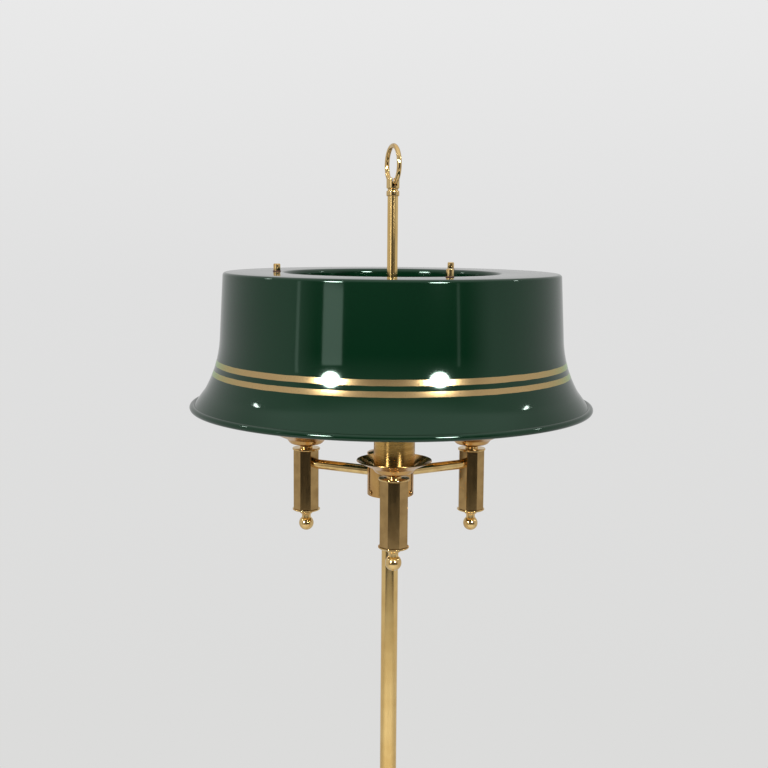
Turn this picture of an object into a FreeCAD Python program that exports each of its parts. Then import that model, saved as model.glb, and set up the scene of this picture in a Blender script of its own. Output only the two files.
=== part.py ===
import FreeCAD, Part
import math
import os

from FreeCAD import Placement, Rotation, Vector

# Pharmacy floor lamp with three candle arms under one enamelled shade.
# Millimetres, Z up. The lamp stands on z = 0 and its stem is on the Z axis.
# An azimuth is in degrees about Z: 0 points to the front, -Y, and 90 points to +X.

# Fits
loose_gap = 0.10
thread_gap = 0.05
running_gap = 0.05
body_gap = 0.30

# Threaded lamp pipe, M10 in the stem and M8 in the candles
pipe_diameter = 10.0
pipe_bore = 8.0
pipe_nut_width = 14.0
pipe_nut_height = 5.0
candle_pipe_diameter = 8.0
candle_pipe_bore = 6.0

# Base
pad_diameter = 266.0
pad_thickness = 2.0
weight_diameter = 264.0
weight_thickness = 19.0
weight_rounding = 2.0
boss_diameter = 44.0
recess_diameter = 34.0
recess_depth = 12.0
washer_diameter = 26.0
washer_thickness = 1.8
cover_diameter = 280.0
cover_wall = 1.2
cover_edge_height = 24.0
cover_rise = 14.0
cover_rounding = 8.0
cover_seat_diameter = 50.0
cover_floor_gap = 0.8
gland_height = 11.0
gland_diameter = 10.0
gland_bore = 7.2
gland_flange_diameter = 13.0
gland_flange_thickness = 3.0
gland_inner_length = 7.0
cord_channel_width = 10.0
cord_channel_depth = 14.0

# Stem
stem_diameter = 17.0
stem_wall = 1.2
stem_lower_length = 560.0
stem_upper_length = 550.0
stem_joint_length = 60.0
stem_plug_length = 18.0
foot_flange_diameter = 36.0
foot_flange_height = 4.0
foot_neck_wall = 4.8
foot_height = 24.0
foot_floor = 6.0

# Hub
hub_diameter = 47.0
hub_wall = 2.5
hub_height = 41.4
hub_plate_thickness = 9.0
hub_socket_depth = 4.0
hub_screw_diameter = 3.0
hub_screw_length = 8.0
hub_screw_height = 3.9
hub_screw_head_diameter = 4.8
hub_screw_head_height = 1.3
screw_slot_width = 0.8
screw_slot_depth = 0.6
sheet_wall = 0.8
hickey_width = 20.0
hickey_side = 1.0
hickey_height = 23.0
hickey_wall = 4.0
hickey_lift = 2.0
lid_overhang = 0.3
lid_edge_height = 1.8
lid_rise = 3.4
lid_flat_diameter = 26.0
lid_spigot = 2.0

# Arms and candles
candle_count = 3
candle_azimuth = 1.9
arm_reach = 100.6
arm_diameter = 10.0
arm_bore = 7.0
arm_lift = 22.1
arm_spigot_diameter = 7.0
arm_spigot_bore = 5.0
arm_spigot_length = 8.5
arm_nut_width = 10.0
arm_nut_height = 3.0
body_width = 26.0
body_wall = 2.0
body_height = 62.9
body_above_arm = 14.2
block_height = 16.0
block_floor = 6.0
flange_diameter = 29.0
flange_thickness = 2.0
neck_diameter = 11.0
neck_bead_diameter = 13.6
neck_height = 4.4
pan_diameter = 70.0
pan_depth = 11.9
pan_floor_diameter = 33.0
pan_step_diameter = 41.0
pan_step_height = 5.2
pan_rounding = 5.0
pan_step_rounding = 3.0
ball_diameter = 15.5
ball_collar_diameter = 13.0
ball_collar_height = 3.2
ball_neck_diameter = 9.4
ball_neck_height = 4.0
holder_diameter = 28.0
holder_height = 55.0
holder_entry_diameter = 13.0
holder_entry_height = 10.0
sleeve_diameter = 38.0
sleeve_wall = 1.0
sleeve_height = 62.0
bulb_cap_diameter = 13.8
bulb_cap_length = 25.0
bulb_cap_depth = 22.0
bulb_diameter = 45.0
bulb_length = 50.0

# Mast and ring finial
mast_diameter = 10.5
mast_wall = 1.2
mast_length = 259.6
mast_thread_step = 0.25
mast_thread_length = 4.0
mast_nut_diameter = 18.0
mast_nut_height = 5.0
finial_diameter = 12.8
finial_collar_height = 5.4
finial_groove_diameter = 10.4
finial_groove_height = 1.9
finial_head_height = 10.6
finial_spigot_length = 8.0
ring_diameter = 41.5
ring_wire = 4.7
ring_azimuth = 19.0
ring_seat_depth = 8.2

# Shade and its carrier
shade_height = 131.7
shade_wall = 0.8
shade_rim_radius = 197.0
shade_bead = 6.2
flare_reach = 25.8
flare_height = 43.0
flare_rounding = 114.0
lip_reach = 11.6
lip_height = 15.6
lip_rounding = 24.0
wall_taper = 4.7
top_edge_rounding = 3.0
shade_hole_radius = 106.0
hole_lip_depth = 14.0
hole_lip_rounding = 4.0
shade_above_hub = 51.0
carrier_count = 3
carrier_azimuth = 27.0
carrier_inset = 9.0
carrier_rod_diameter = 5.0
carrier_drop = 22.0
carrier_bend = 7.0
carrier_thread_diameter = 4.0
carrier_thread_end = 5.4
carrier_hub_wall = 4.75
carrier_hub_height = 18.0
carrier_rod_height = 11.4
shoulder_nut_diameter = 9.0
shoulder_nut_height = 4.0
seal_diameter = 8.0
seal_thickness = 0.7
cap_nut_diameter = 7.0
cap_nut_height = 7.0
collar_wall = 4.75
collar_height = 16.0
clamp_azimuth = 62.0
clamp_screw_diameter = 4.0
clamp_tip_gap = 0.35
clamp_neck_length = 4.0
clamp_head_diameter = 13.0
clamp_head_length = 6.0
clamp_knurl_count = 18
clamp_knurl_depth = 0.5

# Heights that follow from the stack of pieces
weight_top = pad_thickness + weight_thickness
seat_top = cover_edge_height + cover_rise
foot_top = seat_top + foot_height
stem_bottom = seat_top + foot_floor
stem_middle = stem_bottom + stem_lower_length
stem_top = stem_middle + stem_upper_length
hub_bottom = stem_top - hub_socket_depth
hub_top = hub_bottom + hub_height
lid_top = hub_top + lid_edge_height + lid_rise
hub_nut_bottom = hub_bottom + hub_plate_thickness
hickey_bottom = hub_nut_bottom + pipe_nut_height + hickey_lift
hickey_top = hickey_bottom + hickey_height
mast_top = hickey_top + mast_length
arm_height = hub_bottom + arm_lift
body_top = arm_height + body_above_arm
body_bottom = body_top - body_height
pan_floor = body_top + flange_thickness + neck_height
rim_height = hub_top + shade_above_hub
shade_top = rim_height + shade_height
carrier_height = shade_top - carrier_drop
carrier_hub_bottom = carrier_height - carrier_rod_height
collar_bottom = carrier_hub_bottom - body_gap - collar_height
ring_bottom = mast_top + finial_collar_height + finial_groove_height + finial_head_height - ring_seat_depth

# Radii that follow from the same sizes
stem_inner_radius = stem_diameter / 2 - stem_wall
hub_inner_radius = hub_diameter / 2 - hub_wall
body_inner_radius = body_width / 2 - body_wall
mast_thread_radius = mast_diameter / 2 - mast_thread_step
hickey_depth = 2 * (mast_thread_radius + hickey_side)
carrier_radius = shade_hole_radius + carrier_inset
ring_radius = (ring_diameter - ring_wire) / 2
candle_names = ("front", "right", "left")


def heading(azimuth):
    angle = math.radians(azimuth)
    return Vector(math.sin(angle), -math.cos(angle), 0)


def place(radius, azimuth, height):
    return heading(azimuth) * radius + Vector(0, 0, height)


def aim(shape, radius, azimuth, height):
    """Turn a piece that was made along +X to point along the azimuth."""
    turn = Rotation(Vector(0, 0, 1), azimuth - 90)
    moved = shape.copy()
    moved.Placement = Placement(place(radius, azimuth, height), turn).multiply(shape.Placement)
    return moved


def unit(start, end):
    step = (end[0] - start[0], end[1] - start[1])
    size = math.hypot(step[0], step[1])
    return (step[0] / size, step[1] / size)


def rounding_of(corner):
    return corner[2] if len(corner) > 2 else 0.0


def rounded_edges(corners, closed):
    """Edges in the XZ plane through (radius, height, rounding) corners."""
    count = len(corners)
    edges = []
    first = None
    last = None
    for index, corner in enumerate(corners):
        before = corners[index - 1]
        after = corners[(index + 1) % count]
        point = Vector(corner[0], 0, corner[1])
        rounding = rounding_of(corner)
        is_end = not closed and index in (0, count - 1)
        if rounding > 0 and not is_end:
            back = unit(corner, before)
            ahead = unit(corner, after)
            cosine = back[0] * ahead[0] + back[1] * ahead[1]
            half = math.acos(max(-1.0, min(1.0, cosine))) / 2
            reach = rounding / math.tan(half)
            enter = point + Vector(back[0], 0, back[1]) * reach
            leave = point + Vector(ahead[0], 0, ahead[1]) * reach
            inward = Vector(back[0] + ahead[0], 0, back[1] + ahead[1]).normalize()
            middle = point + inward * (rounding / math.sin(half) - rounding)
            arc = Part.Arc(enter, middle, leave).toShape()
        else:
            enter = point
            leave = point
            arc = None
        if last is not None and last.distanceToPoint(enter) > 1e-6:
            edges.append(Part.LineSegment(last, enter).toShape())
        if arc is not None:
            edges.append(arc)
        if first is None:
            first = enter
        last = leave
    if closed:
        edges.append(Part.LineSegment(last, first).toShape())
    return edges


def lathe(corners):
    """A turned piece about Z from the corners of its half section."""
    face = Part.Face(Part.Wire(rounded_edges(corners, True)))
    return face.revolve(Vector(0, 0, 0), Vector(0, 0, 1), 360)


def inner_line(corners, wall):
    """The corners moved to the left of the line by the wall."""
    moved = []
    for index, corner in enumerate(corners):
        before = corners[max(index - 1, 0)]
        after = corners[min(index + 1, len(corners) - 1)]
        enter = unit(before, corner) if index > 0 else unit(corner, after)
        leave = unit(corner, after) if index < len(corners) - 1 else enter
        normal = (-enter[1] - leave[1], enter[0] + leave[0])
        scale = wall / (1 + enter[0] * leave[0] + enter[1] * leave[1])
        turn = enter[0] * leave[1] - enter[1] * leave[0]
        rounding = rounding_of(corner)
        if rounding > 0:
            rounding = max(rounding - math.copysign(wall, turn), 0.0)
        moved.append((corner[0] + normal[0] * scale, corner[1] + normal[1] * scale, rounding))
    return moved


def spun_sheet(corners, wall):
    """A spun sheet of even wall, whose outer line is given with its inside on the left."""
    inside = inner_line(corners, wall)
    return lathe(list(corners) + inside[::-1])


def cylinder(diameter, length, start, direction):
    return Part.makeCylinder(diameter / 2, length, start, direction)


def upright(diameter, bottom, top):
    return cylinder(diameter, top - bottom, Vector(0, 0, bottom), Vector(0, 0, 1))


def upright_tube(outer, inner, bottom, top):
    return upright(outer, bottom, top).cut(upright(inner, bottom - 1, top + 1))


def along_x(diameter, start, end):
    return cylinder(diameter, end - start, Vector(start, 0, 0), Vector(1, 0, 0))


def prism(sides, width, bottom, top, turn):
    """An upright prism with the given width across its flats."""
    radius = width / 2 / math.cos(math.pi / sides)
    corners = []
    for index in range(sides + 1):
        angle = math.radians(turn) + (index + 0.5) * 2 * math.pi / sides
        corners.append(Vector(radius * math.cos(angle), radius * math.sin(angle), bottom))
    return Part.Face(Part.makePolygon(corners)).extrude(Vector(0, 0, top - bottom))


def candle_azimuths():
    return [candle_azimuth + index * 360 / candle_count for index in range(candle_count)]


def carrier_azimuths():
    return [carrier_azimuth + index * 360 / carrier_count for index in range(carrier_count)]


def at_candles(shape):
    """Copies of a piece, modelled on the Z axis, at the candles. The copies aren't turned."""
    pieces = []
    for azimuth in candle_azimuths():
        piece = shape.copy()
        piece.translate(place(arm_reach, azimuth, 0))
        pieces.append(piece)
    return pieces


# Base


def base_pad():
    return upright(pad_diameter, 0, pad_thickness)


def base_weight():
    bore = (pipe_diameter / 2) + loose_gap
    rim = weight_diameter / 2
    recess_top = pad_thickness + recess_depth
    seat = seat_top - cover_wall
    body = lathe([
        (bore, recess_top),
        (recess_diameter / 2, recess_top),
        (recess_diameter / 2, pad_thickness),
        (rim, pad_thickness),
        (rim, weight_top, weight_rounding),
        (boss_diameter / 2, weight_top, weight_rounding),
        (boss_diameter / 2, seat),
        (bore, seat),
    ])
    channel = Part.makeBox(
        cord_channel_width,
        rim + 1,
        cord_channel_depth,
        Vector(-cord_channel_width / 2, 0, pad_thickness),
    )
    return body.cut(channel)


def base_cover():
    edge = cover_diameter / 2
    cover = spun_sheet([
        (edge, cover_floor_gap),
        (edge, cover_edge_height, cover_rounding),
        (cover_seat_diameter / 2, seat_top, cover_rounding),
        (pipe_diameter / 2 + loose_gap, seat_top),
    ], cover_wall)
    hole = cylinder(gland_diameter + 2 * loose_gap, 20, Vector(0, edge - 10, gland_height), Vector(0, 1, 0))
    return cover.cut(hole)


def cord_gland():
    edge = cover_diameter / 2
    flange = cylinder(
        gland_flange_diameter,
        gland_flange_thickness,
        Vector(0, edge, gland_height),
        Vector(0, 1, 0),
    )
    flange = flange.makeFillet(1.0, [flange.Edges[0]])
    tube = cylinder(gland_diameter, gland_inner_length, Vector(0, edge, gland_height), Vector(0, -1, 0))
    bore = cylinder(gland_bore, 60, Vector(0, edge - 30, gland_height), Vector(0, 1, 0))
    return flange.fuse(tube).cut(bore).removeSplitter()


def base_washer():
    top = pad_thickness + recess_depth
    return upright_tube(washer_diameter, pipe_diameter + 2 * loose_gap, top - washer_thickness, top)


def pipe_nut(bottom):
    top = bottom + pipe_nut_height
    nut = prism(6, pipe_nut_width, bottom, top, 0)
    return nut.cut(upright(pipe_diameter + 2 * thread_gap, bottom - 1, top + 1))


def pipe_nuts():
    """The nut under the base and the nut on the plate in the hub."""
    base_nut_top = pad_thickness + recess_depth - washer_thickness
    return [pipe_nut(base_nut_top - pipe_nut_height), pipe_nut(hub_nut_bottom)]


def base_pipe():
    bottom = pad_thickness + recess_depth - washer_thickness - pipe_nut_height - 2
    return upright_tube(pipe_diameter, pipe_bore, bottom, stem_bottom + stem_plug_length)


# Stem


def foot_collar():
    flange = foot_flange_diameter / 2
    socket = stem_diameter / 2 + loose_gap
    neck = stem_diameter / 2 + foot_neck_wall
    bore = pipe_diameter / 2 + loose_gap
    return lathe([
        (bore, seat_top),
        (flange, seat_top, 0.8),
        (flange, seat_top + foot_flange_height, 1.5),
        (neck, seat_top + foot_flange_height, 1.5),
        (neck, foot_top, 2.5),
        (socket, foot_top),
        (socket, stem_bottom),
        (bore, stem_bottom),
    ])


def stem_plug(bottom):
    outer = 2 * (stem_inner_radius - thread_gap)
    return upright_tube(outer, pipe_diameter + 2 * thread_gap, bottom, bottom + stem_plug_length)


def stem_tube(bottom, top):
    return upright_tube(stem_diameter, 2 * stem_inner_radius, bottom, top)


def stem_joint():
    outer = 2 * (stem_inner_radius - thread_gap)
    half = stem_joint_length / 2
    return upright_tube(outer, outer - 3.0, stem_middle - half, stem_middle + half)


# Hub


def hub_plate():
    radius = hub_inner_radius - thread_gap
    socket = stem_diameter / 2 + loose_gap
    bore = pipe_diameter / 2 + loose_gap
    plate = lathe([
        (socket, hub_bottom),
        (radius, hub_bottom),
        (radius, hub_bottom + hub_plate_thickness),
        (bore, hub_bottom + hub_plate_thickness),
        (bore, stem_top),
        (socket, stem_top),
    ])
    for azimuth in candle_azimuths():
        thread = along_x(hub_screw_diameter + 2 * thread_gap, hub_diameter / 2 - hub_screw_length, hub_diameter)
        plate = plate.cut(aim(thread, 0, azimuth + 180 / candle_count, hub_bottom + hub_screw_height))
    return plate


def hub_sleeve():
    outer = hub_diameter / 2
    sleeve = lathe([
        (hub_inner_radius, hub_bottom),
        (outer, hub_bottom, 0.8),
        (outer, hub_top),
        (hub_inner_radius, hub_top),
    ])
    for azimuth in candle_azimuths():
        arm_hole = along_x(arm_spigot_diameter + 2 * loose_gap, 0, hub_diameter)
        sleeve = sleeve.cut(aim(arm_hole, 0, azimuth, arm_height))
        screw_hole = along_x(hub_screw_diameter + 2 * loose_gap, 0, hub_diameter)
        sleeve = sleeve.cut(aim(screw_hole, 0, azimuth + 180 / candle_count, hub_bottom + hub_screw_height))
    return sleeve


def hub_screws():
    """Three slotted screws that hold the sleeve to the plate."""
    outer = hub_diameter / 2
    head_end = outer + hub_screw_head_height
    head = along_x(hub_screw_head_diameter, outer, head_end)
    head = head.makeFillet(0.4, [edge for edge in head.Edges if edge.CenterOfMass.x > head_end - 0.01])
    slot = Part.makeBox(
        screw_slot_depth + 1,
        hub_screw_head_diameter + 2,
        screw_slot_width,
        Vector(head_end - screw_slot_depth, -hub_screw_head_diameter / 2 - 1, -screw_slot_width / 2),
    )
    shank = along_x(hub_screw_diameter, outer - hub_screw_length, outer + 0.2)
    screw = head.fuse(shank).cut(slot).removeSplitter()
    height = hub_bottom + hub_screw_height
    return [aim(screw, 0, azimuth + 180 / candle_count, height) for azimuth in candle_azimuths()]


def hub_pipe():
    return upright_tube(pipe_diameter, pipe_bore, stem_top - stem_plug_length, hickey_bottom + hickey_wall)


def arm_nuts():
    """The nut behind each arm's threaded end, inside the sleeve."""
    corner = arm_nut_width / 2 / math.cos(math.pi / 6)
    seat = math.sqrt(hub_inner_radius ** 2 - corner ** 2) - thread_gap
    nut = prism(6, arm_nut_width, 0, arm_nut_height, 0)
    nut = nut.cut(upright(arm_spigot_diameter + 2 * thread_gap, -1, arm_nut_height + 1))
    nut.rotate(Vector(0, 0, 0), Vector(0, 1, 0), 90)
    nut.translate(Vector(seat - arm_nut_height, 0, 0))
    return [aim(nut, 0, azimuth, arm_height) for azimuth in candle_azimuths()]


def hub_lid():
    """The lid turned with a low dome, which carries the nut of the mast."""
    edge = hub_diameter / 2 + lid_overhang
    spigot = hub_inner_radius - thread_gap
    bore = mast_diameter / 2 + loose_gap
    return lathe([
        (bore, hub_top - lid_spigot),
        (spigot, hub_top - lid_spigot, 0.4),
        (spigot, hub_top),
        (edge, hub_top, 0.5),
        (edge, hub_top + lid_edge_height, 0.8),
        (lid_flat_diameter / 2, lid_top, 8.0),
        (bore, lid_top),
    ])


def hickey():
    """The open bracket that joins the pipe to the mast and lets the wires out."""
    outer = Part.makeBox(
        hickey_width,
        hickey_depth,
        hickey_height,
        Vector(-hickey_width / 2, -hickey_depth / 2, hickey_bottom),
    )
    window = Part.makeBox(
        hickey_width - 2 * hickey_wall,
        hickey_depth + 2,
        hickey_height - 2 * hickey_wall,
        Vector(hickey_wall - hickey_width / 2, -hickey_depth / 2 - 1, hickey_bottom + hickey_wall),
    )
    pipe_hole = upright(pipe_diameter + 2 * thread_gap, hickey_bottom - 1, hickey_bottom + hickey_wall + 1)
    mast_hole = upright(2 * (mast_thread_radius + thread_gap), hickey_top - hickey_wall - 1, hickey_top + 1)
    return outer.cut(window).cut(pipe_hole).cut(mast_hole)


# Arms and candles


def arm(azimuth):
    hub_edge = hub_diameter / 2
    block_edge = arm_reach - block_floor
    tube = along_x(arm_diameter, 0, block_edge).cut(along_x(arm_bore, 0, block_edge + 1))
    tube = tube.cut(cylinder(hub_diameter, arm_diameter * 2, Vector(0, 0, -arm_diameter), Vector(0, 0, 1)))
    spigot = along_x(arm_spigot_diameter, hub_edge - arm_spigot_length, hub_edge + 4)
    spigot = spigot.cut(along_x(arm_spigot_bore, 0, arm_reach))
    return aim(tube.fuse(spigot).removeSplitter(), 0, azimuth, arm_height)


def arm_clearance(azimuth):
    """The hole that the arm makes in the pieces of its candle, with the candle on the Z axis."""
    hole = along_x(arm_diameter + 2 * thread_gap, 0, arm_reach - block_floor)
    hole = aim(hole, 0, azimuth, arm_height)
    hole.translate(place(-arm_reach, azimuth, 0))
    return hole


def candle_body(azimuth):
    outer = prism(8, body_width, body_bottom, body_top, 0)
    inner = prism(8, 2 * body_inner_radius, body_bottom - 1, body_top + 1, 0)
    body = outer.cut(inner).cut(arm_clearance(azimuth))
    body.translate(place(arm_reach, azimuth, 0))
    return body


def candle_blocks():
    """The block in each body that takes the arm and the candle's pipe."""
    blocks = []
    bottom = arm_height - block_height / 2
    top = arm_height + block_height / 2
    for azimuth in candle_azimuths():
        block = upright(2 * (body_inner_radius - thread_gap), bottom, top)
        block = block.cut(upright(candle_pipe_diameter + 2 * thread_gap, bottom - 1, top + 1))
        block = block.cut(arm_clearance(azimuth))
        block.translate(place(arm_reach, azimuth, 0))
        blocks.append(block)
    return blocks


def candle_pipes():
    bottom = body_bottom - flange_thickness - ball_collar_height
    top = pan_floor + sheet_wall + holder_entry_height / 2
    return at_candles(upright_tube(candle_pipe_diameter, candle_pipe_bore, bottom, top))


def top_flanges():
    """A disc that closes the body, with the beaded neck that carries the drip pan."""
    bore = candle_pipe_diameter / 2 + loose_gap
    edge = flange_diameter / 2
    neck = neck_diameter / 2
    bead = neck_bead_diameter / 2
    disc_top = body_top + flange_thickness
    flange = lathe([
        (bore, body_top),
        (edge, body_top, 0.6),
        (edge, disc_top, 0.6),
        (bead, disc_top, 0.3),
        (bead, disc_top + neck_height * 0.45, 0.5),
        (neck, disc_top + neck_height * 0.6, 0.3),
        (neck, pan_floor),
        (bore, pan_floor),
    ])
    return at_candles(flange)


def bottom_flanges():
    bore = candle_pipe_diameter / 2 + loose_gap
    edge = flange_diameter / 2
    flange = lathe([
        (bore, body_bottom - flange_thickness),
        (edge - 1.2, body_bottom - flange_thickness, 0.5),
        (edge, body_bottom - flange_thickness * 0.6, 0.6),
        (edge, body_bottom, 0.4),
        (bore, body_bottom),
    ])
    return at_candles(flange)


def ball_finials():
    """The turned ball nut under each body."""
    top = body_bottom - flange_thickness
    collar_base = top - ball_collar_height
    ball_centre = collar_base - ball_neck_height - ball_diameter / 2 + 1.0
    collar = lathe([
        (0, top),
        (ball_collar_diameter / 2, top, 0.5),
        (ball_collar_diameter / 2, collar_base, 1.0),
        (ball_neck_diameter / 2, collar_base - 1.0, 0.6),
        (ball_neck_diameter / 2, ball_centre, 0),
        (0, ball_centre),
    ])
    ball = Part.makeSphere(ball_diameter / 2, Vector(0, 0, ball_centre))
    thread = upright(candle_pipe_diameter + 2 * thread_gap, collar_base - 1, top + 1)
    return at_candles(collar.fuse(ball).cut(thread).removeSplitter())


def drip_pan():
    return spun_sheet([
        (candle_pipe_diameter / 2 + loose_gap, pan_floor),
        (pan_floor_diameter / 2, pan_floor, pan_rounding),
        (pan_step_diameter / 2, pan_floor + pan_step_height, pan_step_rounding),
        (pan_diameter / 2, pan_floor + pan_depth),
    ], sheet_wall)


def lampholder():
    """A small screw lampholder on the end of the candle's pipe."""
    bottom = pan_floor + sheet_wall
    top = bottom + holder_height
    entry = holder_entry_diameter / 2
    wall = holder_diameter / 2
    pipe = candle_pipe_diameter / 2 + thread_gap
    socket = bulb_cap_diameter / 2 + loose_gap
    socket_floor = top - bulb_cap_depth - 0.5
    return lathe([
        (pipe, bottom),
        (entry, bottom),
        (entry, bottom + holder_entry_height, 1.0),
        (wall, bottom + holder_entry_height + 4, 1.5),
        (wall, top, 0.6),
        (socket, top),
        (socket, socket_floor),
        (pipe, socket_floor),
    ])


def pan_face_height(radius):
    """The height of the drip pan's upper face at a radius."""
    top = pan_floor + pan_depth + pan_diameter
    probe = Part.makeLine(Vector(radius, 0, pan_floor), Vector(radius, 0, top))
    return probe.common(drip_pan()).BoundBox.ZMax


def candle_sleeve():
    """The sleeve stands in the cup of the drip pan and hides the lampholder."""
    outer = sleeve_diameter / 2
    bottom = pan_face_height(outer)
    inner = outer - sleeve_wall
    return lathe([
        (inner, bottom),
        (outer, bottom),
        (outer, bottom + sleeve_height),
        (inner, bottom + sleeve_height),
    ])


def bulb_cap_bottom():
    return pan_floor + sheet_wall + holder_height - bulb_cap_depth


def bulb_caps():
    bottom = bulb_cap_bottom()
    wide = bulb_cap_diameter / 2
    cap = lathe([
        (0, bottom),
        (wide * 0.35, bottom, 0.5),
        (wide, bottom + 4, 1.0),
        (wide, bottom + bulb_cap_length),
        (0, bottom + bulb_cap_length),
    ])
    return at_candles(cap)


def bulb_glass():
    """A round bulb that stands on its cap."""
    bottom = bulb_cap_bottom() + bulb_cap_length
    top = bottom + bulb_length
    neck = bulb_cap_diameter / 2 - 0.4
    wide = bulb_diameter / 2
    return lathe([
        (0, bottom),
        (neck, bottom),
        (neck, bottom + bulb_length * 0.06, 2.0),
        (wide, bottom + bulb_length * 0.36, wide * 0.6),
        (wide, top, wide - 0.1),
        (0, top),
    ])


# Mast and finial


def mast_rod():
    inner = mast_diameter / 2 - mast_wall
    thread = mast_thread_radius
    return lathe([
        (inner, hickey_top - mast_thread_length),
        (thread, hickey_top - mast_thread_length),
        (thread, hickey_top),
        (mast_diameter / 2, hickey_top),
        (mast_diameter / 2, mast_top),
        (inner, mast_top),
    ])


def mast_nut():
    bottom = lid_top
    bore = mast_diameter / 2 + thread_gap
    edge = mast_nut_diameter / 2
    return lathe([
        (bore, bottom),
        (edge, bottom, 0.6),
        (edge, bottom + mast_nut_height, 1.0),
        (bore, bottom + mast_nut_height),
    ])


def finial_head():
    """A collar, a groove and a slotted head that holds the ring."""
    edge = finial_diameter / 2
    groove = finial_groove_diameter / 2
    spigot = mast_diameter / 2 - mast_wall - thread_gap
    collar_top = mast_top + finial_collar_height
    head_bottom = collar_top + finial_groove_height
    head_top = head_bottom + finial_head_height
    head = lathe([
        (0, mast_top - finial_spigot_length),
        (spigot, mast_top - finial_spigot_length),
        (spigot, mast_top),
        (edge, mast_top, 0.8),
        (edge, collar_top, 1.0),
        (groove, collar_top),
        (groove, head_bottom),
        (edge, head_bottom, 1.0),
        (edge, head_top, 1.4),
        (0, head_top),
    ])
    slot_width = ring_wire + 2 * thread_gap
    slot = Part.makeBox(
        2 * finial_diameter,
        slot_width,
        ring_seat_depth + 2,
        Vector(-finial_diameter, -slot_width / 2, ring_bottom),
    )
    return head.cut(aim(slot, 0, ring_azimuth, 0))


def finial_ring():
    centre = ring_bottom + ring_diameter / 2
    ring = Part.makeTorus(ring_radius, ring_wire / 2, Vector(0, 0, 0), Vector(0, 1, 0))
    return aim(ring, 0, ring_azimuth, centre)


# Shade and its carrier


def shade_shell():
    foot = shade_rim_radius - flare_reach
    top = foot - wall_taper
    bead_seat = shade_bead / 2 * 0.8
    shell = spun_sheet([
        (shade_rim_radius + 0.2, rim_height + bead_seat),
        (shade_rim_radius - lip_reach, rim_height + lip_height, lip_rounding),
        (foot, rim_height + flare_height, flare_rounding),
        (top, shade_top, top_edge_rounding),
        (shade_hole_radius, shade_top, hole_lip_rounding),
        (shade_hole_radius, shade_top - hole_lip_depth),
    ], shade_wall)
    bead = Part.makeTorus(shade_rim_radius, shade_bead / 2, Vector(0, 0, rim_height), Vector(0, 0, 1))
    shell = shell.fuse(bead)
    for azimuth in carrier_azimuths():
        point = place(carrier_radius, azimuth, shade_top - 5)
        hole = cylinder(carrier_thread_diameter + 2 * loose_gap, 10, point, Vector(0, 0, 1))
        shell = shell.cut(hole)
    return shell


def shade_carrier():
    """A bush on the mast with three rods that bend up to the top of the shade."""
    bore = mast_diameter / 2 + running_gap
    edge = mast_diameter / 2 + carrier_hub_wall
    bush_top = carrier_hub_bottom + carrier_hub_height
    bush = lathe([
        (bore, carrier_hub_bottom),
        (edge, carrier_hub_bottom, 0.8),
        (edge, bush_top, 0.8),
        (bore, bush_top),
    ])
    shoulder = shade_top - shade_wall - shoulder_nut_height
    bend_start = Vector(carrier_radius - carrier_bend, 0, 0)
    bend_end = Vector(carrier_radius, 0, carrier_bend)
    slope = math.sqrt(0.5) * carrier_bend
    bend_middle = Vector(carrier_radius - carrier_bend + slope, 0, carrier_bend - slope)
    path = Part.Wire([
        Part.LineSegment(Vector(bore + 1.5, 0, 0), bend_start).toShape(),
        Part.Arc(bend_start, bend_middle, bend_end).toShape(),
        Part.LineSegment(bend_end, Vector(carrier_radius, 0, shoulder - carrier_height)).toShape(),
    ])
    ring = Part.Wire(Part.makeCircle(carrier_rod_diameter / 2, Vector(bore + 1.5, 0, 0), Vector(1, 0, 0)))
    rod = path.makePipeShell([ring], True, True)
    thread_top = shade_top + seal_thickness + carrier_thread_end
    thread = cylinder(
        carrier_thread_diameter,
        thread_top - shoulder,
        Vector(carrier_radius, 0, shoulder - carrier_height),
        Vector(0, 0, 1),
    )
    carrier = bush
    for azimuth in carrier_azimuths():
        carrier = carrier.fuse(aim(rod.fuse(thread), 0, azimuth, carrier_height))
    return carrier.removeSplitter()


def at_carriers(shape):
    """Copies of a piece, modelled on the Z axis, at the ends of the carrier's rods."""
    return [aim(shape, carrier_radius, azimuth, 0) for azimuth in carrier_azimuths()]


def shoulder_nuts():
    top = shade_top - shade_wall
    bore = carrier_thread_diameter + 2 * thread_gap
    return at_carriers(upright_tube(shoulder_nut_diameter, bore, top - shoulder_nut_height, top))


def shade_seals():
    bore = carrier_thread_diameter + 2 * thread_gap
    return at_carriers(upright_tube(seal_diameter, bore, shade_top, shade_top + seal_thickness))


def cap_nuts():
    bottom = shade_top + seal_thickness
    bore = carrier_thread_diameter / 2 + thread_gap
    edge = cap_nut_diameter / 2
    nut = lathe([
        (bore, bottom),
        (edge, bottom),
        (edge, bottom + cap_nut_height, 0.8),
        (0, bottom + cap_nut_height),
        (0, bottom + carrier_thread_end + 0.3),
        (bore, bottom + carrier_thread_end + 0.3),
    ])
    return at_carriers(nut)


def lock_collar():
    bore = mast_diameter / 2 + running_gap
    edge = mast_diameter / 2 + collar_wall
    collar = lathe([
        (bore, collar_bottom),
        (edge, collar_bottom, 0.8),
        (edge, collar_bottom + collar_height, 0.8),
        (bore, collar_bottom + collar_height),
    ])
    hole = along_x(clamp_screw_diameter + 2 * running_gap, 0, 2 * edge)
    return collar.cut(aim(hole, 0, clamp_azimuth, collar_bottom + collar_height / 2))


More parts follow.
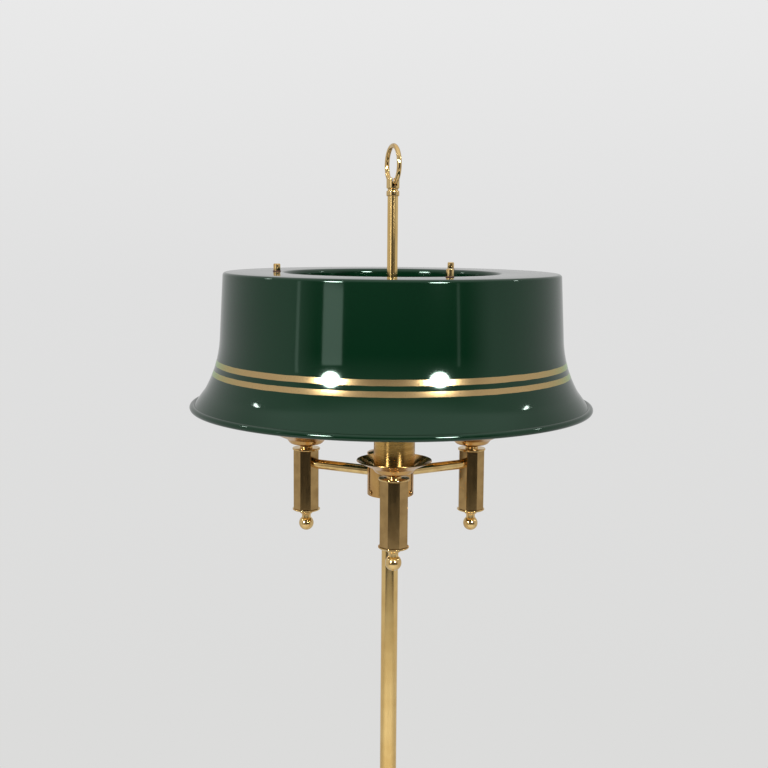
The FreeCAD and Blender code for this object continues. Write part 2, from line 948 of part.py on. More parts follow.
def clamp_screw():
    """A thumbscrew with a knurled head, whose tip presses on the mast."""
    tip = mast_diameter / 2 + clamp_tip_gap
    head_start = mast_diameter / 2 + collar_wall + clamp_neck_length
    head_end = head_start + clamp_head_length
    screw = along_x(clamp_screw_diameter, tip, head_start + 1)
    head = along_x(clamp_head_diameter, head_start, head_end)
    head = head.makeFillet(0.6, head.Edges[:1] + head.Edges[2:3])
    for index in range(clamp_knurl_count):
        angle = index * 360 / clamp_knurl_count
        groove = cylinder(
            2 * clamp_knurl_depth,
            clamp_head_length + 2,
            Vector(head_start - 1, clamp_head_diameter / 2, 0),
            Vector(1, 0, 0),
        )
        groove.rotate(Vector(0, 0, 0), Vector(1, 0, 0), angle)
        head = head.cut(groove)
    return aim(screw.fuse(head).removeSplitter(), 0, clamp_azimuth, collar_bottom + collar_height / 2)


def write_node(name, shape):
    solids = shape if isinstance(shape, list) else [shape]
    shape = Part.makeCompound(solids) if len(solids) > 1 else solids[0]
    if not shape.isValid():
        print("not valid:", name)
    shape.exportStep("parts/" + name + ".step")
    print(name, len(shape.Solids), round(shape.Volume), "mm3")


def main():
    os.makedirs("parts", exist_ok=True)
    nodes = {
        "base_pad": base_pad(),
        "base_weight": base_weight(),
        "base_cover": base_cover(),
        "base_washer": base_washer(),
        "pipe_nuts": pipe_nuts(),
        "base_pipe": base_pipe(),
        "cord_gland": cord_gland(),
        "foot_collar": foot_collar(),
        "stem_plugs": [stem_plug(stem_bottom), stem_plug(stem_top - stem_plug_length)],
        "stem_lower_tube": stem_tube(stem_bottom, stem_middle),
        "stem_joint": stem_joint(),
        "stem_upper_tube": stem_tube(stem_middle, stem_top),
        "hub_plate": hub_plate(),
        "hub_sleeve": hub_sleeve(),
        "hub_screws": hub_screws(),
        "hub_pipe": hub_pipe(),
        "arm_nuts": arm_nuts(),
        "hickey": hickey(),
        "hub_lid": hub_lid(),
        "candle_blocks": candle_blocks(),
        "candle_pipes": candle_pipes(),
        "top_flanges": top_flanges(),
        "bottom_flanges": bottom_flanges(),
        "ball_finials": ball_finials(),
        "bulb_caps": bulb_caps(),
        "mast_rod": mast_rod(),
        "mast_nut": mast_nut(),
        "finial_head": finial_head(),
        "finial_ring": finial_ring(),
        "shade_shell": shade_shell(),
        "shade_carrier": shade_carrier(),
        "shoulder_nuts": shoulder_nuts(),
        "shade_seals": shade_seals(),
        "cap_nuts": cap_nuts(),
        "lock_collar": lock_collar(),
        "clamp_screw": clamp_screw(),
    }
    repeated = {
        "drip_pan": drip_pan(),
        "lampholder": lampholder(),
        "candle_sleeve": candle_sleeve(),
        "bulb_glass": bulb_glass(),
    }
    for side, azimuth in zip(candle_names, candle_azimuths()):
        nodes["arm_" + side] = arm(azimuth)
        nodes["candle_body_" + side] = candle_body(azimuth)
    for name, shape in repeated.items():
        for side, piece in zip(candle_names, at_candles(shape)):
            nodes[name + "_" + side] = piece
    for name, shape in nodes.items():
        write_node(name, shape)
    print(len(nodes), "nodes, overall height", round(ring_bottom + ring_diameter, 1))


main()
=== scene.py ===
import math

import bmesh
import bpy
from mathutils import Matrix, Vector


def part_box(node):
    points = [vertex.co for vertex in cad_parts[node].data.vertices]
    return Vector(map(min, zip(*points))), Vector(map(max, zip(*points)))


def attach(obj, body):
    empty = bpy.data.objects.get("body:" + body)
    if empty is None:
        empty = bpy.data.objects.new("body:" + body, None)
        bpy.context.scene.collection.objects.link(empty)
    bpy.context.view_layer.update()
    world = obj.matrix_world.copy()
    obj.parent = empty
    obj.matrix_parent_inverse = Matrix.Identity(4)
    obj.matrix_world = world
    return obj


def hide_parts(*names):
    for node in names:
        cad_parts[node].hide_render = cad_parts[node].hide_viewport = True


# Pharmacy floor lamp: a brass stand with three candle arms under one green enamelled shade.
# Sizes in the dictionaries are millimetres.
# An azimuth is in degrees about Z: 0 is the front, -Y, and 90 is +X.

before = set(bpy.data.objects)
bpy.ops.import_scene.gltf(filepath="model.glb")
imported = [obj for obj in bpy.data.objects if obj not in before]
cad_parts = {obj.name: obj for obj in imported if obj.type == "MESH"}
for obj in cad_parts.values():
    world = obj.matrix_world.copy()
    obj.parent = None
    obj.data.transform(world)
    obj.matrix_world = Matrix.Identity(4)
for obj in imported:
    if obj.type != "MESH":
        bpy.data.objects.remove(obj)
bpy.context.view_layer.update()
print("frame loaded:", len(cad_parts), "nodes")

scene = bpy.context.scene
candleSides = ("front", "right", "left")


def linear(hexText):
    values = [int(hexText[start:start + 2], 16) / 255 for start in (1, 3, 5)]
    return tuple(v / 12.92 if v <= 0.04045 else ((v + 0.055) / 1.055) ** 2.4 for v in values) + (1.0,)


def addNode(tree, kind, links=None, **settings):
    node = tree.nodes.new(kind)
    for name, value in settings.items():
        setattr(node, name, value)
    for name, value in (links or {}).items():
        if isinstance(value, bpy.types.NodeSocket):
            tree.links.new(value, node.inputs[name])
        else:
            node.inputs[name].default_value = value
    return node


def perMm(size):
    return 1000.0 / size  # texture scale that gives a pattern of this size on Object coordinates


def span(node):
    low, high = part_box(node)
    return low * 1000, high * 1000


def middle(node):
    low, high = span(node)
    return (low + high) / 2


def radiusOf(node):
    low, high = span(node)
    return (high.x - low.x) / 2


def heading(azimuth):
    angle = math.radians(azimuth)
    return Vector((math.sin(angle), -math.cos(angle), 0))


def azimuthOf(point):
    return math.degrees(math.atan2(point.x, -point.y))


# Finishes


def startFinish(name):
    finish = bpy.data.materials.new(name)
    finish.use_nodes = True
    tree = finish.node_tree
    tree.nodes.clear()
    shader = addNode(tree, "ShaderNodeBsdfPrincipled")
    addNode(tree, "ShaderNodeOutputMaterial", {"Surface": shader.outputs["BSDF"]})
    return finish, tree, shader


def brassFinish(name, look):
    finish, tree, shader = startFinish(name)
    place = addNode(tree, "ShaderNodeTexCoord").outputs["Object"]
    cloud = addNode(tree, "ShaderNodeTexNoise", {
        "Vector": place, "Scale": perMm(look["cloud"]), "Detail": 3.0})
    fine = addNode(tree, "ShaderNodeMapping", {
        "Vector": place, "Scale": [perMm(size) for size in look["grain"]]})
    grain = addNode(tree, "ShaderNodeTexNoise", {"Vector": fine.outputs[0], "Scale": 1.0, "Detail": 2.0})
    tone = addNode(tree, "ShaderNodeMapRange", {
        "Value": cloud.outputs["Fac"], "From Min": 0.38, "From Max": 0.68,
        "To Min": 0.0, "To Max": look["toning"]})
    colour = addNode(tree, "ShaderNodeMix", {
        "Factor": tone.outputs[0], "A": linear(look["colour"]), "B": linear(look["toned"])}, data_type="RGBA")
    haze = addNode(tree, "ShaderNodeMapRange", {
        "Value": grain.outputs["Fac"], "From Min": 0.3, "From Max": 0.7,
        "To Min": look["roughness"] * 0.8, "To Max": look["roughness"] * 1.25})
    patchy = addNode(tree, "ShaderNodeMath", {
        0: haze.outputs[0], 1: tone.outputs[0], 2: haze.outputs[0]}, operation="MULTIPLY_ADD")
    bump = addNode(tree, "ShaderNodeBump", {
        "Height": grain.outputs["Fac"], "Strength": look["grainStrength"], "Distance": 0.00002})
    tree.links.new(colour.outputs["Result"], shader.inputs["Base Color"])
    tree.links.new(patchy.outputs[0], shader.inputs["Roughness"])
    tree.links.new(bump.outputs[0], shader.inputs["Normal"])
    shader.inputs["Metallic"].default_value = 1.0
    if "rings" in look:
        around = addNode(tree, "ShaderNodeTangent", direction_type="RADIAL", axis="Z")
        tree.links.new(around.outputs[0], shader.inputs["Tangent"])
        shader.inputs["Anisotropic"].default_value = look["rings"]
        shader.inputs["Anisotropic Rotation"].default_value = 0.25
    return finish


# Drawn tube, polished and lacquered: a pale yellow mirror, very slightly uneven along the tube
drawnBrass = brassFinish("polishedBrassDrawn", {
    "colour": "#EFCC88", "toned": "#CFA45A", "toning": 0.4, "roughness": 0.1,
    "cloud": 22.0, "grain": (3.0, 3.0, 60.0), "grainStrength": 0.05})

# Turned brass, polished and lacquered: the same mirror, a little deeper in tone
turnedBrass = brassFinish("polishedBrassTurned", {
    "colour": "#E8C88A", "toned": "#B98A4A", "toning": 0.45, "roughness": 0.09,
    "cloud": 9.0, "grain": (20.0, 20.0, 2.0), "grainStrength": 0.04})

# Spun brass sheet of the base, polished and lacquered: broad, faint clouds, and highlights that the
# spinning rings draw out
spunBrass = brassFinish("polishedBrassSpun", {
    "colour": "#E8C88A", "toned": "#CFA868", "toning": 0.3, "roughness": 0.15, "rings": 0.5,
    "cloud": 60.0, "grain": (40.0, 40.0, 4.0), "grainStrength": 0.01})

# Toned brass under lacquer on the flat-sided bodies: a brown-gold mirror, a little hazy
tonedBrass = brassFinish("tonedBrassMilled", {
    "colour": "#BB9A66", "toned": "#8E6F44", "toning": 0.5, "roughness": 0.09,
    "cloud": 12.0, "grain": (3.0, 3.0, 30.0), "grainStrength": 0.04})

# Toned brass tube of the candle sleeves: fine rings round it draw each light into an upright streak
tonedBrassTube = brassFinish("tonedBrassRinged", {
    "colour": "#D6AC62", "toned": "#B88C4E", "toning": 0.25, "roughness": 0.25, "rings": 1.0,
    "cloud": 20.0, "grain": (30.0, 30.0, 3.0), "grainStrength": 0.012})

# Toned brass that was turned or spun: brown-gold, with softer rings than the sleeves
tonedBrassSpun = brassFinish("tonedBrassSpun", {
    "colour": "#D2A766", "toned": "#A87A48", "toning": 0.4, "roughness": 0.17, "rings": 0.7,
    "cloud": 18.0, "grain": (20.0, 20.0, 2.0), "grainStrength": 0.05})


def enamelFinish(look):
    finish, tree, shader = startFinish("greenStovingEnamel")
    place = addNode(tree, "ShaderNodeTexCoord").outputs["Object"]
    height = addNode(tree, "ShaderNodeSeparateXYZ", {"Vector": place}).outputs["Z"]
    waver = addNode(tree, "ShaderNodeTexNoise", {"Vector": place, "Scale": perMm(16.0), "Detail": 2.0})
    offset = addNode(tree, "ShaderNodeMapRange", {
        "Value": waver.outputs["Fac"], "To Min": -look["waver"] / 1000, "To Max": look["waver"] / 1000})
    level = addNode(tree, "ShaderNodeMath", {0: height, 1: offset.outputs[0]}, operation="ADD").outputs[0]
    masks = []
    for low, high in look["bands"]:
        centre = (low + high) / 2000
        half = (high - low) / 2000
        away = addNode(tree, "ShaderNodeMath", {0: level, 1: centre}, operation="SUBTRACT").outputs[0]
        size = addNode(tree, "ShaderNodeMath", {0: away}, operation="ABSOLUTE").outputs[0]
        masks.append(addNode(tree, "ShaderNodeMapRange", {
            "Value": size, "From Min": half + 0.0001, "From Max": half - 0.0001}).outputs[0])
    gilt = addNode(tree, "ShaderNodeMath", {0: masks[0], 1: masks[1]}, operation="MAXIMUM").outputs[0]
    rub = addNode(tree, "ShaderNodeTexNoise", {"Vector": place, "Scale": perMm(2.2), "Detail": 4.0})
    wear = addNode(tree, "ShaderNodeMapRange", {
        "Value": rub.outputs["Fac"], "From Min": 0.28, "From Max": 0.42, "To Min": 0.75, "To Max": 1.0})
    leaf = addNode(tree, "ShaderNodeMath", {0: gilt, 1: wear.outputs[0]}, operation="MULTIPLY").outputs[0]
    depth = addNode(tree, "ShaderNodeTexNoise", {"Vector": place, "Scale": perMm(60.0), "Detail": 2.0})
    green = addNode(tree, "ShaderNodeMix", {
        "Factor": depth.outputs["Fac"], "A": linear(look["green"]), "B": linear(look["deepGreen"])},
        data_type="RGBA")
    colour = addNode(tree, "ShaderNodeMix", {
        "Factor": leaf, "A": green.outputs["Result"], "B": linear(look["gilt"])}, data_type="RGBA")
    film = addNode(tree, "ShaderNodeMapRange", {
        "Value": rub.outputs["Fac"], "To Min": look["roughness"] * 0.85, "To Max": look["roughness"] * 1.15})
    rough = addNode(tree, "ShaderNodeMix", {
        "Factor": leaf, "A": film.outputs[0], "B": look["giltRoughness"]}, data_type="FLOAT")
    peel = addNode(tree, "ShaderNodeTexNoise", {"Vector": place, "Scale": perMm(5.0), "Detail": 1.0})
    bump = addNode(tree, "ShaderNodeBump", {
        "Height": peel.outputs["Fac"], "Strength": look["peel"], "Distance": 0.00001})
    tree.links.new(colour.outputs["Result"], shader.inputs["Base Color"])
    tree.links.new(leaf, shader.inputs["Metallic"])
    tree.links.new(rough.outputs["Result"], shader.inputs["Roughness"])
    tree.links.new(bump.outputs[0], shader.inputs["Normal"])
    shader.inputs["IOR"].default_value = 1.5
    shader.inputs["Specular Tint"].default_value = linear(look["shine"])
    return finish


def plainFinish(name, look):
    finish, tree, shader = startFinish(name)
    place = addNode(tree, "ShaderNodeTexCoord").outputs["Object"]
    mottle = addNode(tree, "ShaderNodeTexNoise", {
        "Vector": place, "Scale": perMm(look["mottle"]), "Detail": 4.0})
    grit = addNode(tree, "ShaderNodeTexNoise", {
        "Vector": place, "Scale": perMm(look["grit"]), "Detail": 2.0})
    colour = addNode(tree, "ShaderNodeMix", {
        "Factor": mottle.outputs["Fac"], "A": linear(look["colour"]), "B": linear(look["second"])},
        data_type="RGBA")
    rough = addNode(tree, "ShaderNodeMapRange", {
        "Value": grit.outputs["Fac"], "To Min": look["roughness"] * 0.8, "To Max": look["roughness"] * 1.2})
    bump = addNode(tree, "ShaderNodeBump", {
        "Height": grit.outputs["Fac"], "Strength": look["relief"], "Distance": look["grit"] / 20000})
    tree.links.new(colour.outputs["Result"], shader.inputs["Base Color"])
    tree.links.new(rough.outputs[0], shader.inputs["Roughness"])
    tree.links.new(bump.outputs[0], shader.inputs["Normal"])
    shader.inputs["Metallic"].default_value = look.get("metallic", 0.0)
    if "ior" in look:
        shader.inputs["IOR"].default_value = look["ior"]
    if "sheen" in look:
        shader.inputs["Sheen Weight"].default_value = look["sheen"]
        shader.inputs["Sheen Roughness"].default_value = 0.6
    if "coat" in look:
        shader.inputs["Coat Weight"].default_value = look["coat"]
        shader.inputs["Coat Roughness"].default_value = 0.08
    return finish


# Green enamel inside the shade: the same deep green as outside, less glossy and with no gilt lines
greenInside = plainFinish("greenSprayedEnamel", {
    "colour": "#0B3A22", "second": "#08301B", "mottle": 40.0, "grit": 1.2, "relief": 0.1,
    "roughness": 0.22, "ior": 1.5})
# Sand-cast iron: dark grey, matt and grainy
castIron = plainFinish("castIronSand", {
    "colour": "#3B3A38", "second": "#57504A", "mottle": 14.0, "grit": 0.9, "relief": 0.8,
    "roughness": 0.7, "metallic": 1.0})
# Zinc-plated steel fixings: pale blue-grey metal, slightly cloudy
zincSteel = plainFinish("zincPlatedSteel", {
    "colour": "#B9BDC2", "second": "#9EA0A0", "mottle": 5.0, "grit": 0.5, "relief": 0.2,
    "roughness": 0.34, "metallic": 1.0})
# Pressed wool felt under the base: dark, soft and dull, with a fuzzy edge light
woolFelt = plainFinish("woolFelt", {
    "colour": "#26332B", "second": "#1B2520", "mottle": 3.0, "grit": 0.4, "relief": 1.0,
    "roughness": 0.95, "sheen": 0.5})
# Moulded phenolic: black-brown, hard, with a dull gloss
blackPhenolic = plainFinish("mouldedPhenolicBlack", {
    "colour": "#141312", "second": "#1D1B19", "mottle": 10.0, "grit": 0.7, "relief": 0.15,
    "roughness": 0.3, "ior": 1.6})
# Nickel-plated brass on the bulb caps: neutral bright metal
nickelPlate = plainFinish("nickelPlate", {
    "colour": "#C9C5BC", "second": "#B2ADA3", "mottle": 6.0, "grit": 0.5, "relief": 0.1,
    "roughness": 0.2, "metallic": 1.0})
# Opal bulb glass: milk white under a clear gloss
opalGlass = plainFinish("opalGlass", {
    "colour": "#F4F2EC", "second": "#EDEAE2", "mottle": 25.0, "grit": 2.0, "relief": 0.03,
    "roughness": 0.3, "ior": 1.52, "coat": 0.6})
# Vulcanised fibre under the cap nuts: dark red-brown, dull
vulcanFibre = plainFinish("vulcanisedFibre", {
    "colour": "#4A2A20", "second": "#3A1F18", "mottle": 2.0, "grit": 0.3, "relief": 0.5, "roughness": 0.7})
print("finishes ready:", len(bpy.data.materials))


# Mesh makers


def rounding(corner):
    return corner[2] if len(corner) > 2 else 0.0


def direction(start, end):
    return Vector((end[0] - start[0], end[1] - start[1])).normalized()


def roundedLine(corners, closed, step=9.0, chord=4.0):
    # points along (radius, height, rounding) corners, with an arc at each rounded one
    points = []
    count = len(corners)
    for index, corner in enumerate(corners):
        here = Vector(corner[:2])
        size = rounding(corner)
        if size <= 0 or (not closed and index in (0, count - 1)):
            points.append(here)
            continue
        back = direction(corner, corners[index - 1])
        ahead = direction(corner, corners[(index + 1) % count])
        half = back.angle(ahead) / 2
        reach = size / math.tan(half)
        centre = here + (back + ahead).normalized() * (size / math.sin(half))
        enter = here + back * reach - centre
        turn = enter.angle_signed(here + ahead * reach - centre)
        pieces = max(2, math.ceil(abs(turn) / math.radians(step)), math.ceil(abs(turn) * size / chord))
        start = math.atan2(enter.y, enter.x)
        for part in range(pieces + 1):
            angle = start - turn * part / pieces
            points.append(centre + Vector((math.cos(angle), math.sin(angle))) * size)
    return points


def insideLine(corners, wall):
    # the corners moved to the left of the line by the wall
    moved = []
    for index, corner in enumerate(corners):
        before = corners[max(index - 1, 0)]
        after = corners[min(index + 1, len(corners) - 1)]
        enter = direction(before, corner) if index > 0 else direction(corner, after)
        leave = direction(corner, after) if index < len(corners) - 1 else enter
        scale = wall / (1 + enter.dot(leave))
        size = rounding(corner)
        if size > 0:
            size = max(size - math.copysign(wall, enter.x * leave.y - enter.y * leave.x), 0.05)
        moved.append((corner[0] - (enter.y + leave.y) * scale, corner[1] + (enter.x + leave.x) * scale, size))
    return moved


def turnedBody(corners, around=96):
    # a bmesh in millimetres, spun about Z from the corners of a half section
    body = bmesh.new()
    outline = roundedLine(corners, True)
    rings = []
    for point in outline:
        if point.x < 1e-5:
            rings.append([body.verts.new((0, 0, point.y))])
        else:
            rings.append([body.verts.new((
                point.x * math.cos(2 * math.pi * turn / around),
                point.x * math.sin(2 * math.pi * turn / around), point.y)) for turn in range(around)])
    for index, ring in enumerate(rings):
        other = rings[(index + 1) % len(rings)]
        if len(ring) == 1 and len(other) == 1:
            continue
        for turn in range(around):
            after = (turn + 1) % around
            if len(ring) == 1:
                body.faces.new((ring[0], other[after], other[turn]))
            elif len(other) == 1:
                body.faces.new((ring[turn], ring[after], other[0]))
            else:
                body.faces.new((ring[turn], ring[after], other[after], other[turn]))
    return body


def finishPiece(name, body, finish, crease=28.0):
    # closes the bmesh, turns its faces outwards and gives it a finish, in metres
    bmesh.ops.remove_doubles(body, verts=body.verts, dist=1e-4)
    bmesh.ops.recalc_face_normals(body, faces=body.faces)
    bmesh.ops.scale(body, vec=(0.001,) * 3, verts=body.verts)
    mesh = bpy.data.meshes.new(name)
    body.to_mesh(mesh)
    body.free()
    mesh.materials.append(finish)
    mesh.shade_smooth()
    mesh.set_sharp_from_angle(angle=math.radians(crease))
    piece = bpy.data.objects.new(name, mesh)
    scene.collection.objects.link(piece)
    return piece


def settle(piece, body, slot, *nodes):
    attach(piece, body)
    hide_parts(*nodes)
    return piece


def turnedPiece(name, corners, finish, at=(0, 0, 0), around=96):
    body = turnedBody(corners, around)
    bmesh.ops.translate(body, vec=at, verts=body.verts)
    return finishPiece(name, body, finish)


def aimed(azimuth, height, radius=0.0):
    # turns a piece that was made about Z so that its top points outwards along the azimuth
    return Matrix.Translation(heading(azimuth) * radius + Vector((0, 0, height))) @ (
        heading(azimuth).to_track_quat("Z", "Y").to_matrix().to_4x4())


def cutAway(piece, cutter):
    # cuts the second piece out of the first and removes it
    cut = piece.modifiers.new("cut", "BOOLEAN")
    cut.operation = "DIFFERENCE"
    cut.solver = "EXACT"
    cut.object = cutter
    plainMesh(piece)
    bpy.data.objects.remove(cutter)


def plainMesh(piece, crease=28.0):
    # turns the piece's modifiers into a plain mesh
    made = bpy.data.meshes.new_from_object(piece.evaluated_get(bpy.context.evaluated_depsgraph_get()))
    piece.modifiers.clear()
    body = bmesh.new()
    body.from_mesh(made)
    bmesh.ops.remove_doubles(body, verts=body.verts, dist=1e-7)
    bmesh.ops.recalc_face_normals(body, faces=body.faces)
    body.to_mesh(made)
    body.free()
    made.shade_smooth()
    made.set_sharp_from_angle(angle=math.radians(crease))
    piece.data = made
    made.name = piece.name


# Geometry Nodes


def startTree(name, inputs):
    tree = bpy.data.node_groups.new(name, "GeometryNodeTree")
    tree.interface.new_socket("Geometry", in_out="INPUT", socket_type="NodeSocketGeometry")
    for label, kind in inputs.items():
        tree.interface.new_socket(label, in_out="INPUT", socket_type="NodeSocket" + kind)
    tree.interface.new_socket("Geometry", in_out="OUTPUT", socket_type="NodeSocketGeometry")
    given = addNode(tree, "NodeGroupInput").outputs
    return tree, given


def endTree(tree, geometry, finish, chosen=True):
    # every tree ends in real geometry that carries its finish
    real = addNode(tree, "GeometryNodeRealizeInstances", {"Geometry": geometry})
    painted = addNode(tree, "GeometryNodeSetMaterial", {
        "Geometry": real.outputs[0], "Selection": chosen, "Material": finish})
    addNode(tree, "NodeGroupOutput", {0: painted.outputs[0]})
    return tree


def grow(piece, tree, values):
    # runs the tree on the piece with these inputs and keeps the result as a plain mesh
    modifier = piece.modifiers.new(tree.name, "NODES")
    modifier.node_group = tree
    for item in tree.interface.items_tree:
        if item.in_out == "INPUT" and item.name in values:
            modifier[item.identifier] = values[item.name]
    plainMesh(piece)
    return piece


def roundTheAxisTree():
    # copies of a piece at even turns round Z, each facing outwards
    tree, given = startTree("copiesRoundTheAxis", {
        "Count": "Int", "Radius": "Float", "First Azimuth": "Float", "Finish": "Material"})
    points = addNode(tree, "GeometryNodePoints", {"Count": given["Count"]})
    index = addNode(tree, "GeometryNodeInputIndex").outputs[0]
    whole = addNode(tree, "ShaderNodeMath", {0: index, 1: 2 * math.pi}, operation="MULTIPLY")
    turn = addNode(tree, "ShaderNodeMath", {0: whole.outputs[0], 1: given["Count"]}, operation="DIVIDE")
    angle = addNode(tree, "ShaderNodeMath", {0: turn.outputs[0], 1: given["First Azimuth"]}, operation="ADD")
    rotation = addNode(tree, "ShaderNodeCombineXYZ", {"Z": angle.outputs[0]})
    reach = addNode(tree, "ShaderNodeMath", {0: given["Radius"], 1: -1.0}, operation="MULTIPLY")
    out = addNode(tree, "ShaderNodeCombineXYZ", {"Y": reach.outputs[0]})
    place = addNode(tree, "ShaderNodeVectorRotate", {
        "Vector": out.outputs[0], "Angle": angle.outputs[0], "Axis": (0, 0, 1)})
    moved = addNode(tree, "GeometryNodeSetPosition", {
        "Geometry": points.outputs[0], "Position": place.outputs[0]})
    copies = addNode(tree, "GeometryNodeInstanceOnPoints", {
        "Points": moved.outputs[0], "Instance": given["Geometry"], "Rotation": rotation.outputs[0]})
    return endTree(tree, copies.outputs[0], given["Finish"])


def spunSheetTree():
    # spins a closed outline of points about Z; points marked inner get the inner finish
    tree, given = startTree("spunShade", {
        "Facets": "Int", "Outer Finish": "Material", "Inner Finish": "Material"})
    domain = addNode(tree, "GeometryNodeAttributeDomainSize", {
        "Geometry": given["Geometry"]}, component="MESH")
    count = domain.outputs["Point Count"]
    rows = addNode(tree, "ShaderNodeMath", {0: count, 1: 1.0}, operation="ADD").outputs[0]
    columns = addNode(tree, "ShaderNodeMath", {0: given["Facets"], 1: 1.0}, operation="ADD").outputs[0]
    sheet = addNode(tree, "GeometryNodeMeshGrid", {
        "Size X": 1.0, "Size Y": 1.0, "Vertices X": columns, "Vertices Y": rows})
    index = addNode(tree, "GeometryNodeInputIndex").outputs[0]
    share = addNode(tree, "ShaderNodeMath", {0: index, 1: rows}, operation="DIVIDE")
    column = addNode(tree, "ShaderNodeMath", {0: share.outputs[0]}, operation="FLOOR").outputs[0]
    row = addNode(tree, "ShaderNodeMath", {0: index, 1: rows}, operation="MODULO")
    step = addNode(tree, "ShaderNodeMath", {0: row.outputs[0], 1: count}, operation="MODULO")
    position = addNode(tree, "GeometryNodeInputPosition").outputs[0]
    point = addNode(tree, "GeometryNodeSampleIndex", {
        "Geometry": given["Geometry"], "Value": position, "Index": step.outputs[0]},
        data_type="FLOAT_VECTOR", domain="POINT")
    whole = addNode(tree, "ShaderNodeMath", {0: column, 1: 2 * math.pi}, operation="MULTIPLY")
    angle = addNode(tree, "ShaderNodeMath", {0: whole.outputs[0], 1: given["Facets"]}, operation="DIVIDE")
    spun = addNode(tree, "ShaderNodeVectorRotate", {
        "Vector": point.outputs[0], "Angle": angle.outputs[0], "Axis": (0, 0, 1)})
    shaped = addNode(tree, "GeometryNodeSetPosition", {
        "Geometry": sheet.outputs["Mesh"], "Position": spun.outputs[0]})
    mark = addNode(tree, "GeometryNodeInputNamedAttribute", {"Name": "inner"}, data_type="FLOAT")
    inner = addNode(tree, "GeometryNodeSampleIndex", {
        "Geometry": given["Geometry"], "Value": mark.outputs[0], "Index": step.outputs[0]},
        data_type="FLOAT", domain="POINT")
    onPoints = addNode(tree, "GeometryNodeFieldOnDomain", {"Value": inner.outputs[0]}, domain="POINT")
    isInner = addNode(tree, "FunctionNodeCompare", {
        "A": onPoints.outputs[0], "B": 0.75}, operation="GREATER_THAN")
    outside = addNode(tree, "GeometryNodeSetMaterial", {
        "Geometry": shaped.outputs[0], "Material": given["Outer Finish"]})
    return endTree(tree, outside.outputs[0], given["Inner Finish"], isInner.outputs[0])


def knurlTree():
    # presses straight grooves into the points of a turned head that lie outside the core
    tree, given = startTree("straightKnurl", {
        "Ribs": "Int", "Depth": "Float", "Core Radius": "Float", "Finish": "Material"})
    position = addNode(tree, "GeometryNodeInputPosition").outputs[0]
    axes = addNode(tree, "ShaderNodeSeparateXYZ", {0: position})
    angle = addNode(tree, "ShaderNodeMath", {0: axes.outputs[1], 1: axes.outputs[0]}, operation="ARCTAN2")
    wave = addNode(tree, "ShaderNodeMath", {0: angle.outputs[0], 1: given["Ribs"]}, operation="MULTIPLY")
    crest = addNode(tree, "ShaderNodeMath", {0: wave.outputs[0]}, operation="COSINE")
    groove = addNode(tree, "ShaderNodeMapRange", {
        "Value": crest.outputs[0], "From Min": -1.0, "From Max": 0.4, "To Min": 1.0, "To Max": 0.0})
    level = addNode(tree, "ShaderNodeCombineXYZ", {"X": axes.outputs[0], "Y": axes.outputs[1]})
    radius = addNode(tree, "ShaderNodeVectorMath", {0: level.outputs[0]}, operation="LENGTH")
    outer = addNode(tree, "FunctionNodeCompare", {
        "A": radius.outputs["Value"], "B": given["Core Radius"]}, operation="GREATER_THAN")
    outward = addNode(tree, "ShaderNodeVectorMath", {0: level.outputs[0]}, operation="NORMALIZE")
    depth = addNode(tree, "ShaderNodeMath", {0: groove.outputs[0], 1: given["Depth"]}, operation="MULTIPLY")
    press = addNode(tree, "ShaderNodeMath", {0: depth.outputs[0], 1: -1.0}, operation="MULTIPLY")
    offset = addNode(tree, "ShaderNodeVectorMath", {
        0: outward.outputs[0], "Scale": press.outputs[0]}, operation="SCALE")
    pressed = addNode(tree, "GeometryNodeSetPosition", {
        "Geometry": given["Geometry"], "Selection": outer.outputs[0], "Offset": offset.outputs[0]})
    return endTree(tree, pressed.outputs[0], given["Finish"])


def bentRodTree():
    # a round rod along a path of straight runs, with bends of one radius
    tree, given = startTree("bentRod", {
        "Rod Radius": "Float", "Bend Radius": "Float", "Finish": "Material"})
    path = addNode(tree, "GeometryNodeMeshToCurve", {"Mesh": given["Geometry"]})
    bent = addNode(tree, "GeometryNodeFilletCurve", {
        "Curve": path.outputs[0], "Radius": given["Bend Radius"], "Count": 12}, mode="POLY")
    section = addNode(tree, "GeometryNodeCurvePrimitiveCircle", {
        "Resolution": 28, "Radius": given["Rod Radius"]})
    rod = addNode(tree, "GeometryNodeCurveToMesh", {
        "Curve": bent.outputs[0], "Profile Curve": section.outputs[0], "Fill Caps": True})
    return endTree(tree, rod.outputs[0], given["Finish"])


def threadTree():
    # a rolled thread wound round a cap, joined to it
    tree, given = startTree("rolledThread", {
        "Turns": "Float", "Pitch": "Float", "Radius": "Float", "Crest": "Float", "Start": "Float",
        "Finish": "Material"})
    rise = addNode(tree, "ShaderNodeMath", {0: given["Turns"], 1: given["Pitch"]}, operation="MULTIPLY")
    helix = addNode(tree, "GeometryNodeCurveSpiral", {
        "Resolution": 24, "Rotations": given["Turns"], "Start Radius": given["Radius"],
        "End Radius": given["Radius"], "Height": rise.outputs[0]})
    section = addNode(tree, "GeometryNodeCurvePrimitiveCircle", {"Resolution": 8, "Radius": given["Crest"]})
    thread = addNode(tree, "GeometryNodeCurveToMesh", {
        "Curve": helix.outputs[0], "Profile Curve": section.outputs[0], "Fill Caps": True})
    lift = addNode(tree, "ShaderNodeCombineXYZ", {"Z": given["Start"]})
    placed = addNode(tree, "GeometryNodeTransform", {
        "Geometry": thread.outputs[0], "Translation": lift.outputs[0]})
    joined = addNode(tree, "GeometryNodeJoinGeometry", {"Geometry": given["Geometry"]})
    tree.links.new(placed.outputs[0], joined.inputs[0])
    return endTree(tree, joined.outputs[0], given["Finish"])


copiesTree = roundTheAxisTree()
sheetTree = spunSheetTree()
grooveTree = knurlTree()
rodTree = bentRodTree()
capThreadTree = threadTree()


